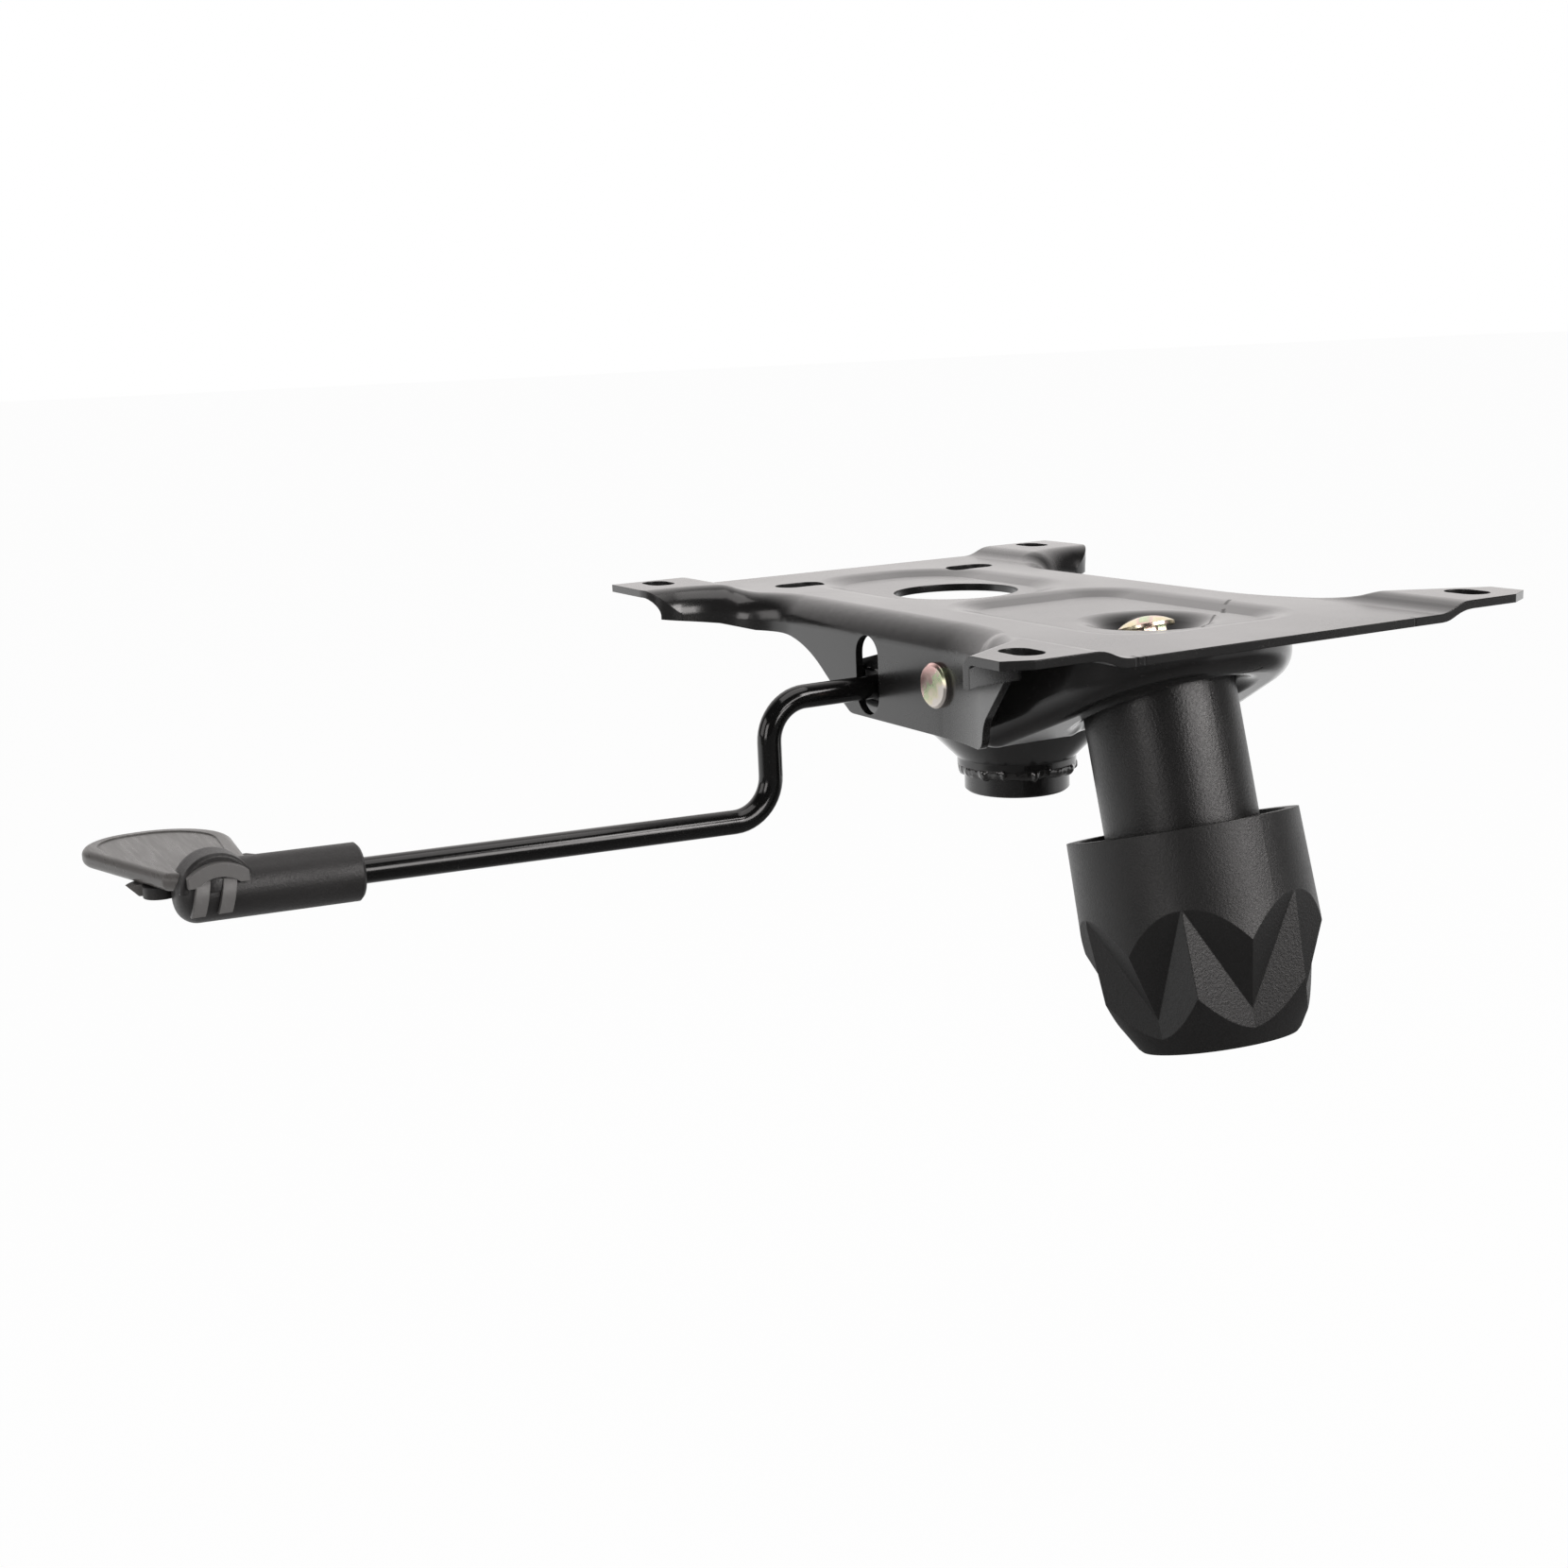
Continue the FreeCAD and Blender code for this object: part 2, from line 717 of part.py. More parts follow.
def rear_ear_corner_cutters():
    """Rounds the outer corner of each rear ear, beside its lip."""
    radius, reach = size("rear_ear_corner"), size("ear_reach")
    centre = V(size("rear_ear_inner") - radius, radius - reach)
    near = Part.makeBox(2 * radius, FAR, FAR, centre - V(0, FAR, 0)).cut(Part.makeCylinder(radius, FAR, centre))
    return [near, mirrored(near)]


def make_seat_plate():
    """The stamped plate: an outer block less its inside, less the openings."""
    sheet = size("plate_sheet")
    outer = rounded_block("plate_outside", 0.0, 0.0).Shape.cut(pressed_shapes(0.0))
    inner = rounded_block("plate_inside", sheet, FAR / 10).Shape.cut(pressed_shapes(sheet))
    plate = outer.cut(inner).cut([below_near_flange(), below_far_flange()])
    plate = plate.cut(below_rear_ears())
    plate = plate.cut(plate_openings() + ear_corner_cutters() + rear_ear_corner_cutters())
    return add_node("seat_plate", biggest(plate))


def biggest(shape):
    """The largest solid of a shape, with its seams merged."""
    return max(shape.Solids, key=lambda solid: solid.Volume).removeSplitter()


# Housing


def housing_half():
    """Half the width over the housing's side walls."""
    return size("flange_half") - size("plate_sheet") - size("housing_side_gap")


def housing_plan(distance):
    """The housing's outline in plan, shrunk by a distance."""
    half, nose_half = housing_half(), size("housing_nose_half")
    rear, shoulder, nose = size("housing_rear"), size("housing_shoulder"), size("housing_nose")
    points = [V(rear, 0), V(rear, -half), V(shoulder, -half), V(nose, -nose_half),
              V(nose, nose_half), V(shoulder, half), V(rear, half), V(rear, 0)]
    bend, curve = size("housing_rear_radius"), size("housing_shoulder_radius")
    nose_bend = size("housing_nose_radius")
    radii = [bend, curve, nose_bend, nose_bend, curve, bend]
    moved, moved_radii = shift_path(points, radii, distance)
    return moved[:-1], [0.0] + moved_radii


def slope_height(along):
    """Height of the housing's underside where it slopes up to the nose."""
    rise = (along - size("slope_start")) * math.tan(math.radians(size("slope_degrees")))
    return size("housing_bottom") + rise


def housing_block(distance):
    """The housing as a filled block; distance shrinks it to its inside."""
    points, radii = housing_plan(distance)
    block = prism(points, radii, size("neck_bottom"), size("plate_top"))
    bottom = [V(-FAR, size("housing_bottom")), V(size("slope_start"), size("housing_bottom")),
              V(FAR, slope_height(FAR))]
    line, corner_radii = shift_path(bottom, [size("housing_bend")], distance)
    below = prism(line + [V(FAR, -FAR), V(-FAR, -FAR)], [0.0] + corner_radii + [0.0] * 3, -FAR, FAR, "XZ")
    block = block.cut(below).removeSplitter()
    lower = [edge for edge in block.Edges if on_bottom_rim(edge, block)]
    return block.makeFillet(size("housing_bend") - distance, lower)


def on_bottom_rim(edge, block):
    """Whether an edge runs round the underside of the housing's block."""
    faces = block.ancestorsOfType(edge, Part.Face)
    leans = []
    for face in faces:
        centre = face.Surface.parameter(face.CenterOfMass)
        leans.append(face.normalAt(*centre).z)
    return min(leans) < -0.5 and max(leans) > -0.3


def neck(distance, floor):
    """The drawn neck round the socket, up to the floor; distance gives its inside."""
    inner = size("neck_radius") - distance
    low = size("neck_bottom") - (FAR if distance else 0)
    turn = size("neck_bottom") + size("neck_straight") + distance * math.tan(math.radians(22.5))
    wide = inner + floor - turn
    profile = [(0, low), (inner, low), (inner, turn), (wide, floor), (0, floor)]
    return half_turned(profile)


def spring_pocket(distance):
    """The round pocket that the sleeve stands in; distance gives its upper side."""
    radius = size("sleeve_radius") + size("sleeve_pocket_gap") + distance
    return bolt_bar(radius, size("seat_depth") - distance, size("sleeve_end"))


def soft_pocket_rim(block):
    """The same block with the edge round the pocket's mouth rolled in."""
    radius = size("sleeve_radius") + size("sleeve_pocket_gap")
    rim = [edge for edge in block.Edges if is_pocket_mouth(edge, radius)]
    return block.makeFillet(size("pocket_rim_bend"), rim)


def is_pocket_mouth(edge, radius):
    """Whether an edge lies on the pocket's wall, below its roof."""
    middle = bolt_placement().inverse().multVec(edge.valueAt((edge.FirstParameter + edge.LastParameter) / 2))
    on_wall = abs(math.hypot(middle.x, middle.y) - radius) < TINY * 10
    vertices = [bolt_placement().inverse().multVec(vertex.Point) for vertex in edge.Vertexes]
    below_roof = all(-vertex.z > size("seat_depth") + TINY for vertex in vertices + [middle])
    return on_wall and below_roof and len(edge.Vertexes) < 3


def above_rim():
    """The space above the housing's open top."""
    top = size("rim_front_height")
    points = [V(-FAR, size("rim_rear_height")), V(size("rim_rear"), size("rim_rear_height")),
              V(size("rim_low"), size("rim_low_height")), V(size("rim_mid"), size("rim_mid_height")),
              V(size("rim_front"), top), V(FAR, top), V(FAR, FAR), V(-FAR, FAR)]
    return prism(points, [0.0] * len(points), -FAR, FAR, "XZ")


def lever_bush_box(grow):
    """The block of the lever's bush, grown by a margin all round its width and height."""
    width, height = size("lever_bush_width") + 2 * grow, size("lever_bush_depth") + 2 * grow
    inner = size("lever_bush_inner")
    length = lever_bush_outer() - inner
    corner = V(-width / 2, -lever_bush_outer(), size("rod_height") - height / 2)
    return Part.makeBox(width, length, height, corner)


def lever_bush_outer():
    """How far the bush stands out, just short of the seat plate's flange."""
    return size("flange_half") - size("plate_sheet") - size("lever_bush_flange_gap")


def make_housing():
    """The lower stamping, from an outer block less its inside."""
    sheet = size("housing_sheet")
    floor = size("housing_bottom")
    neck_wall = size("neck_radius") - size("socket_radius")
    block = soft_pocket_rim(housing_block(0.0).cut(spring_pocket(0.0)))
    outer = block.fuse(neck(0.0, floor))
    inner = housing_block(sheet).cut(spring_pocket(sheet)).fuse(neck(neck_wall, floor + sheet))
    housing = outer.cut(inner).cut(above_rim())
    bush_hole = bush_radius()
    holes = [rod_along(pivot_point(-FAR), pivot_point(FAR), bush_hole), lever_bush_box(size("lever_bush_play")),
             bolt_bar(size("bolt_radius") + size("bolt_hole_gap"), 0, size("sleeve_end"))]
    return add_node("tilt_housing", biggest(housing.cut(holes)))


def bush_radius():
    """Outer radius of the pivot bushes' shanks."""
    return size("pin_radius") + size("pin_running_gap") + size("bush_wall")


def make_socket():
    """The welded tube with its tapered bore for the gas column."""
    radius, bore = size("socket_radius"), size("socket_bore_radius")
    edge, height = size("socket_edge"), size("socket_height")
    profile = [(bore, 0), (radius - edge, 0), (radius, edge), (radius, height),
               (size("socket_bore_top_radius"), height), (bore, size("socket_bore_length"))]
    return add_node("cylinder_socket", half_turned(profile))


def make_weld():
    """The weld bead between the socket and the housing's neck."""
    inner, outer = size("socket_radius"), size("weld_radius")
    low, top = size("weld_bottom"), size("neck_bottom")
    middle = (low + top) / 2
    profile = [(inner, low), ((inner + outer) / 2, low + (middle - low) / 2), (outer, middle),
               (outer, top), (inner, top)]
    return add_node("socket_weld", half_turned(profile))


# Pivot


def make_pivot_pin():
    """The rivet that the seat plate rocks on, with a flat head outside each flange."""
    half, head = size("flange_half"), size("pin_head_height")
    chamfer, wide = size("pin_head_chamfer"), size("pin_head_radius")
    radius = size("pin_radius")
    profile = [(0, -half - head), (wide - chamfer, -half - head), (wide, -half - head + chamfer),
               (wide, -half), (radius, -half), (radius, half), (wide, half),
               (wide, half + head - chamfer), (wide - chamfer, half + head), (0, half + head)]
    across = FreeCAD.Placement(pivot_point(0), FreeCAD.Rotation(V(1, 0, 0), 90))
    return add_node("pivot_pin", half_turned(profile), across)


def make_pivot_bushes():
    """Two collared bushes, one in each wall of the housing."""
    bore = size("pin_radius") + size("pin_running_gap")
    wall_out = housing_half()
    wall_in = wall_out - size("housing_sheet")
    collar = size("bush_collar")
    profile = [(bore, wall_in), (bush_radius(), wall_in), (bush_radius(), wall_out),
               (size("bush_collar_radius"), wall_out), (size("bush_collar_radius"), wall_out + collar),
               (bore, wall_out + collar)]
    for name, turn in (("pivot_bush_near", 90), ("pivot_bush_far", -90)):
        place = FreeCAD.Placement(pivot_point(0), FreeCAD.Rotation(V(1, 0, 0), turn))
        add_node(name, half_turned(profile), place)


def make_pivot_spacer():
    """The tube round the pin that keeps the housing's walls apart."""
    outer = add_cylinder("spacer_outside", "Sizes.spacer_radius",
                         "2 * (Sizes.flange_half - Sizes.plate_sheet - Sizes.housing_side_gap"
                         " - Sizes.housing_sheet)")
    inner = add_cylinder("spacer_bore", "Sizes.pin_radius + 4 * Sizes.pin_running_gap",
                         "2 * Sizes.flange_half")
    spacer = add_boolean("Cut", "pivot_spacer", outer, inner)
    spacer.Label = "pivot_spacer"
    half = housing_half() - size("housing_sheet")
    spacer.Placement = FreeCAD.Placement(pivot_point(half), FreeCAD.Rotation(V(1, 0, 0), 90))


# Tension bolt, spring and sleeve


def make_tension_bolt():
    """A bolt with a domed head and a square neck."""
    radius, thick, edge = size("bolt_head_radius"), size("bolt_head_thickness"), size("bolt_head_edge")
    crown = thick - edge
    dome_radius = (radius ** 2 + crown ** 2) / (2 * crown)
    dome = Part.makeSphere(dome_radius, V(0, 0, -dome_radius))
    head = Part.makeCylinder(radius, thick, V(0, 0, -thick)).common(dome)
    side, neck_length = size("bolt_neck_side"), size("bolt_neck_length")
    square = Part.makeBox(side, side, neck_length, V(-side / 2, -side / 2, -thick - neck_length))
    shank = Part.makeCylinder(size("bolt_radius"), size("bolt_length") - thick, V(0, 0, -size("bolt_length")))
    return add_node("tension_bolt", head.fuse([square, shank]).removeSplitter(), bolt_placement())


def make_sleeve():
    """The plastic tube over the spring, with a lip that the spring holds up."""
    outer, wall = size("sleeve_radius"), size("sleeve_wall")
    top, lip = -size("seat_depth"), size("sleeve_lip")
    profile = [(size("sleeve_lip_bore"), top), (outer, top), (outer, -size("sleeve_end")),
               (outer - wall, -size("sleeve_end")), (outer - wall, top - lip),
               (size("sleeve_lip_bore"), top - lip)]
    return add_node("spring_sleeve", half_turned(profile), bolt_placement())


def spring_radius():
    """Mean radius of the spring's coils."""
    bore = size("sleeve_radius") - size("sleeve_wall")
    return bore - size("spring_sleeve_gap") - size("spring_wire") / 2


def spring_top():
    """Depth of the wire's centre line at the spring's upper end."""
    return size("seat_depth") + size("sleeve_lip") + size("spring_seat_gap") + size("spring_wire") / 2


def spring_point(turns, length):
    """A point on the wire's centre line, with the end coils wound close."""
    total, closed = size("spring_turns"), size("spring_closed_pitch")
    open_pitch = (length - 2 * closed) / (total - 2)
    if turns < 1:
        depth = closed * turns
    elif turns > total - 1:
        depth = length - closed * (total - turns)
    else:
        depth = closed + open_pitch * (turns - 1)
    angle = 2 * math.pi * turns
    radius = spring_radius()
    return V(radius * math.cos(angle), radius * math.sin(angle), -spring_top() - depth)


def spring_tangent(turns, length):
    """The wire's direction, from points close before and after."""
    step = 1e-3
    total = size("spring_turns")
    before = spring_point(max(0.0, turns - step), length)
    after = spring_point(min(total, turns + step), length)
    return (after - before).normalize()


def biarc(start, start_way, end, end_way):
    """Two arcs that join two points and meet smoothly."""
    across = end - start
    along = start_way + end_way
    a = 2 * (start_way.dot(end_way) - 1)
    b = -2 * across.dot(along)
    reach = (-b - math.sqrt(b * b - 4 * a * across.dot(across))) / (2 * a)
    first, last = start + start_way * reach, end - end_way * reach
    joint = (first + last) / 2
    arcs = []
    for one, knee, two in ((start, first, joint), (joint, last, end)):
        weight = one.distanceToPoint(two) / (2 * reach)
        middle = (one + two + knee * (2 * weight)) / (2 + 2 * weight)
        arcs.append(Part.Arc(one, middle, two).toShape())
    return arcs


def make_spring():
    """The coil spring, one unbroken wire, from the sleeve's lip down to the cap."""
    wire = size("spring_wire")
    length = size("cap_top") - size("spring_seat_gap") - wire / 2 - spring_top()
    steps = int(round(size("spring_turns") * 4))
    marks = [size("spring_turns") * step / steps for step in range(steps + 1)]
    edges = []
    for one, two in zip(marks, marks[1:]):
        edges += biarc(spring_point(one, length), spring_tangent(one, length),
                       spring_point(two, length), spring_tangent(two, length))
    path = Part.Wire(edges)
    ring = Part.Wire(Part.makeCircle(wire / 2, spring_point(0, length), spring_tangent(0, length)))
    tube = path.makePipeShell([ring], True, False)
    print("spring: least gap between turns", round(least_spring_gap(length), 3),
          "volume share", round(tube.Volume / (path.Length * math.pi * wire ** 2 / 4), 4))
    return add_node("compression_spring", tube, bolt_placement())


def least_spring_gap(length):
    """The least gap from the wire to itself one turn on, measured on points."""
    wire, total = size("spring_wire"), size("spring_turns")
    points = [spring_point(total * step / 320, length) for step in range(321)]
    apart = int(320 * 0.6 / total)
    gaps = []
    for index, point in enumerate(points):
        for other in points[index + apart:]:
            gaps.append(point.distanceToPoint(other) - wire)
    return min(gaps)


def make_cap():
    """The flanged guide that carries the spring's lower end."""
    bore = size("bolt_radius") + size("bolt_hole_gap")
    wide = size("sleeve_radius") - size("sleeve_wall") - size("cap_sleeve_gap")
    top, flange = -size("cap_top"), size("cap_flange")
    guide, height = size("cap_guide_radius"), size("cap_guide_height")
    profile = [(bore, top - flange), (wide, top - flange), (wide, top), (guide, top),
               (guide, top + height), (bore, top + height)]
    return add_node("spring_cap", half_turned(profile), bolt_placement())


def make_thrust_washer():
    """The steel washer that the knob turns against."""
    outer = add_cylinder("washer_outside", "Sizes.washer_radius", "Sizes.washer_thickness")
    bore = add_cylinder("washer_bore", "Sizes.bolt_radius + Sizes.bolt_hole_gap",
                        "4 * Sizes.washer_thickness")
    washer = add_boolean("Cut", "thrust_washer", outer, bore)
    washer.Label = "thrust_washer"
    washer.Placement = bolt_placement().multiply(FreeCAD.Placement(V(0, 0, -washer_bottom()), FreeCAD.Rotation()))


def washer_bottom():
    """Depth of the thrust washer's lower face."""
    return size("cap_top") + size("cap_flange") + size("washer_thickness")


# Tension knob


def knob_corner(radius, turn, depth):
    """A point of the knob by radius, angle from a ridge in degrees and depth."""
    angle = math.radians(turn)
    return V(radius * math.cos(angle), radius * math.sin(angle), -depth)


def half_space(one, two, three, inside):
    """A large box beyond the plane through three points, on the far side from a point."""
    normal = (two - one).cross(three - one).normalize()
    if normal.dot(inside - one) > 0:
        normal = normal * -1
    box = Part.makeBox(FAR, FAR, FAR, V(-FAR / 2, -FAR / 2, 0))
    box.Placement = FreeCAD.Placement(one, FreeCAD.Rotation(V(0, 0, 1), normal))
    return box


def knob_facet_cutter():
    """What is cut away between one ridge and the keel beside it."""
    step = 180 / size("knob_ridges")
    rim = size("knob_belly_radius")
    ridge_top = knob_corner(rim, 0, size("knob_ridge_top"))
    ridge_low = knob_corner(size("knob_ridge_low_radius"), 0, size("knob_ridge_low"))
    tongue = knob_corner(rim, step, size("knob_tongue_tip"))
    keel_low = knob_corner(size("knob_keel_low_radius"), step, size("knob_keel_low"))
    middle = V(0, 0, -size("knob_belly"))
    wedge = Part.Face(Part.makePolygon([V(), V(FAR, 0, 0), knob_corner(FAR, step, 0), V()]))
    wedge = wedge.extrude(V(0, 0, -FAR))
    cutter = wedge.common(half_space(ridge_top, ridge_low, keel_low, middle))
    return cutter.common(half_space(ridge_top, tongue, keel_low, middle))


def knob_profile():
    """Half the knob's section: a deep cup with a boss for the nut."""
    top, floor, base = -size("knob_top"), -size("knob_floor"), -size("knob_bottom")
    boss_top = -washer_bottom() - size("knob_running_gap")
    bore = size("bolt_radius") + size("bolt_hole_gap")
    edge = size("knob_base_edge")
    return [(0, base), (size("knob_base_radius") - edge, base), (size("knob_base_radius"), base + edge),
            (size("knob_cone_radius"), -size("knob_cone")), (size("knob_belly_radius"), -size("knob_belly")),
            (size("knob_rim_radius"), top), (size("knob_mouth_radius"), top),
            (size("knob_mouth_radius"), -size("knob_throat")), (size("knob_throat_radius"), floor),
            (size("knob_boss_radius"), floor), (size("knob_boss_radius"), boss_top), (bore, boss_top),
            (bore, base + size("knob_base_wall")), (0, base + size("knob_base_wall"))]


def make_knob():
    """The tension knob, with its cup and its cut facets."""
    knob = half_turned(knob_profile())
    near = knob_facet_cutter()
    pair = [near, mirrored(near)]
    cutters = []
    for index in range(int(size("knob_ridges"))):
        for cutter in pair:
            turned = cutter.copy()
            turned.rotate(V(), V(0, 0, 1), size("knob_ridge_angle") + index * 360 / size("knob_ridges"))
            cutters.append(turned)
    knob = knob.cut(cutters)
    pocket = hexagon_bar(size("nut_flats") + 2 * size("nut_pocket_gap"), nut_bottom(), washer_bottom())
    return add_node("tension_knob", biggest(knob.cut(pocket)), bolt_placement())


def nut_bottom():
    """Depth of the nut's lower face."""
    return washer_bottom() + size("knob_running_gap") + size("nut_sink") + size("nut_height")


def hexagon_bar(flats, low, high):
    """A six-sided bar on the bolt's axis between two depths."""
    radius = flats / math.sqrt(3)
    corners = [knob_corner(radius, 60 * index, low) for index in range(6)]
    face = Part.Face(Part.makePolygon(corners + corners[:1]))
    return face.extrude(V(0, 0, low - high))


def make_nut():
    """The nut held in the knob's boss."""
    body = hexagon_bar(size("nut_flats"), nut_bottom(), nut_bottom() - size("nut_height"))
    bore = size("bolt_radius") + size("pin_running_gap")
    hole = Part.makeCylinder(bore, FAR, V(0, 0, -FAR))
    return add_node("knob_nut", body.cut(hole), bolt_placement())


# Lever


def make_lever_rod():
    """The bent rod, with a flat under its inner end that presses the column's button."""
    height, low = size("rod_height"), size("rod_low_height")
    points = [V(0, size("rod_inner_end"), height), V(0, -size("rod_drop_half"), height),
              V(0, -size("rod_drop_half"), low), V(0, -size("rod_outer_end"), size("rod_outer_height"))]
    path = Part.Wire(path_edges(points, [size("rod_bend")] * 2))
    ring = Part.Wire(Part.makeCircle(size("rod_radius"), points[0], V(0, -1, 0)))
    rod = path.makePipeShell([ring], True, False)
    flat, radius = size("rod_flat_length"), size("rod_radius")
    corner = V(-2 * radius, size("rod_inner_end") - flat, height - 3 * radius + size("rod_flat_depth"))
    rod = rod.cut(Part.makeBox(4 * radius, 2 * flat, 2 * radius, corner))
    return add_node("lever_rod", rod)


def make_lever_bush():
    """The plastic bush that rocks with the rod in a window of the near wall."""
    bore = rod_along(V(0, -FAR, size("rod_height")), V(0, 0, size("rod_height")),
                     size("rod_radius") + size("lever_bush_gap"))
    return add_node("lever_bush", lever_bush_box(0.0).cut(bore))


def make_stop_ring():
    """The ring on the rod that stops the lever's pull against the bush."""
    ring = add_cylinder("stop_ring_outside", "Sizes.stop_ring_radius", "Sizes.stop_ring_length")
    hole = add_cylinder("stop_ring_bore", "Sizes.rod_radius", "4 * Sizes.stop_ring_length")
    stop = add_boolean("Cut", "lever_stop_ring", ring, hole)
    stop.Label = "lever_stop_ring"
    outer = size("lever_bush_inner") - size("lever_pull_gap") - size("lever_pull")
    stop.Placement = FreeCAD.Placement(V(0, -outer + size("stop_ring_length"), size("rod_height")),
                                       FreeCAD.Rotation(V(1, 0, 0), 90))


# Handle


def grip_tube():
    """The round tube of the grip, in the part's frame, closed and rounded at its outer end."""
    length = size("grip_outer") - size("grip_inner")
    body = Part.makeCylinder(size("grip_radius"), length)
    rims = sorted(body.Edges, key=lambda edge: edge.CenterOfMass.z)
    body = body.makeFillet(size("grip_round"), [rims[-1]])
    body = body.makeChamfer(size("grip_edge"), [edge for edge in body.Edges if abs(edge.CenterOfMass.z) < TINY])
    body.Placement = lever_placement()
    return body


def grip_bore():
    """The rod's hole in the grip."""
    depth = (size("rod_outer_end") - size("grip_inner")) / math.cos(lever_slope())
    bore = Part.makeCylinder(size("rod_radius"), depth + FAR, V(0, 0, -FAR))
    bore.Placement = lever_placement()
    return bore


def hub():
    """The dome of the grip that comes up through the paddle, with a flat front."""
    radius, low = size("hub_radius"), size("paddle_top") - size("paddle_thickness")
    rear = V(size("hub_rear"), -size("hub_half"), size("hub_height"))
    front = V(size("hub_front"), -size("hub_half"), size("hub_height"))
    barrel = rod_along(rear, front, radius)
    rim = [edge for edge in barrel.Edges if abs(edge.CenterOfMass.x - front.x) < TINY]
    barrel = barrel.makeFillet(size("hub_edge"), rim)
    whole = barrel.fuse(Part.makeSphere(radius, rear)).removeSplitter()
    return whole.cut(Part.makeBox(FAR, FAR, FAR, V(-FAR / 2, -1.5 * FAR, low - FAR)))


def web():
    """The flat web between the grip and the paddle."""
    reach, half = size("web_reach"), size("web_half")
    points = [V(0, -size("hub_half")), V(-reach, -size("hub_half")), V(-reach, -half),
              V(0, -half + reach * size("web_slope"))]
    top = size("web_top")
    return prism(points, [0.0] * 4, top - size("web_thickness"), top)


def grip_body():
    """The grip as one filled body, which the paddle and the clip are fitted to."""
    return grip_tube().fuse([hub(), web()]).removeSplitter()


def make_grip():
    """The plastic grip pushed over the rod's outer end."""
    return add_node("handle_grip", biggest(grip_body().cut(grip_bore())))


def clip_band():
    """The arched band of the clip in front of the dome."""
    centre = V(size("hub_front"), -size("hub_half"), size("clip_arch_height"))
    across = V(1, 0, 0)
    thick = size("clip_wall")
    ring = Part.makeCylinder(size("clip_arch_outer"), thick, centre, across)
    ring = ring.cut(Part.makeCylinder(size("clip_arch_inner"), thick, centre, across))
    width, low = size("clip_width"), size("clip_band_low")
    keep = Part.makeBox(thick, width, FAR, V(centre.x, centre.y - width / 2, low))
    return ring.common(keep)


def clip_hook(outer):
    """One hook of the clip, bent round the front of the grip and leaning outwards."""
    radius, length = size("grip_radius"), size("grip_outer") - size("grip_inner")
    ring = Part.makeCylinder(radius + size("clip_hook_wall"), length).cut(Part.makeCylinder(radius, length))
    ring.Placement = lever_placement()
    width, lean = size("clip_hook_width"), size("clip_hook_lean")
    low, high = size("clip_hook_low"), size("clip_hook_high")
    points = [V(-outer, low), V(width - outer, low), V(width + lean - outer, high), V(lean - outer, high)]
    return ring.common(prism(points, [0.0] * 4, 0, FAR, "YZ"))


def make_clip(grip):
    """The light clip: an arched band with two hooks down the grip's front."""
    outer = size("hub_half") + size("clip_width") / 2
    step = size("clip_hook_width") + size("clip_hook_space")
    clip = clip_band().fuse([clip_hook(outer), clip_hook(outer - step)]).cut(grip)
    return add_node("handle_clip", biggest(clip))


def paddle_corners():
    """The paddle's outline in plan, with the radius of each corner."""
    rear, front = size("paddle_rear"), size("paddle_front")
    points = [V(rear, -size("paddle_rear_inner")), V(rear, -size("paddle_rear_outer")),
              V(size("paddle_corner"), -size("paddle_corner_half")), V(front, -size("paddle_front_outer")),
              V(front, -size("paddle_front_inner"))]
    small = size("paddle_front_radius")
    return points, [size("paddle_inner_radius"), size("paddle_outer_radius"), small, small, small]


def make_paddle(grip):
    """The flat paddle behind the grip, its edge rounded and its face slightly sunk."""
    points, radii = paddle_corners()
    top, thick = size("paddle_top"), size("paddle_thickness")
    blade = prism(points, radii, top - thick, top)
    rims = [edge for edge in blade.Edges if abs(edge.tangentAt(edge.FirstParameter).z) < TINY]
    blade = blade.makeFillet(size("paddle_edge"), rims)
    face = flat_face(points, radii).OuterWire.makeOffset2D(-size("paddle_rim"))
    face.translate(V(0, 0, top - size("paddle_sunk")))
    blade = blade.cut(Part.Face(face).extrude(V(0, 0, thick))).fuse(paddle_skirt())
    return add_node("handle_paddle", biggest(blade.cut(grip)))


def post_foot():
    """The middle of the post's lower end."""
    low = size("paddle_top") - size("paddle_thickness") - size("post_height")
    return V(size("post_along"), -size("post_half"), low)


def paddle_skirt():
    """The tapered skirt under the paddle, behind the post and open to the front."""
    foot, height = post_foot(), size("post_height")
    skirt = Part.makeCone(size("skirt_low_radius"), size("skirt_top_radius"), height, foot)
    opening = Part.makeBox(FAR, FAR, FAR, V(0, -FAR / 2, -FAR / 2))
    opening.rotate(V(), V(0, 0, 1), -size("skirt_front_degrees"))
    opening.translate(foot)
    return skirt.cut([opening, Part.makeCylinder(size("post_radius"), height, foot)])


def make_post(grip):
    """The short post under the paddle, beside the grip's end."""
    post = Part.makeCylinder(size("post_radius"), size("post_height"), post_foot())
    return add_node("handle_post", biggest(post.cut(grip)))


NODES = ["seat_plate", "tilt_housing", "cylinder_socket", "socket_weld", "pivot_pin",
         "pivot_bush_near", "pivot_bush_far", "pivot_spacer", "tension_bolt", "spring_sleeve",
         "compression_spring", "spring_cap", "thrust_washer", "tension_knob", "knob_nut",
         "lever_rod", "lever_bush", "lever_stop_ring", "handle_grip", "handle_clip",
         "handle_paddle", "handle_post"]


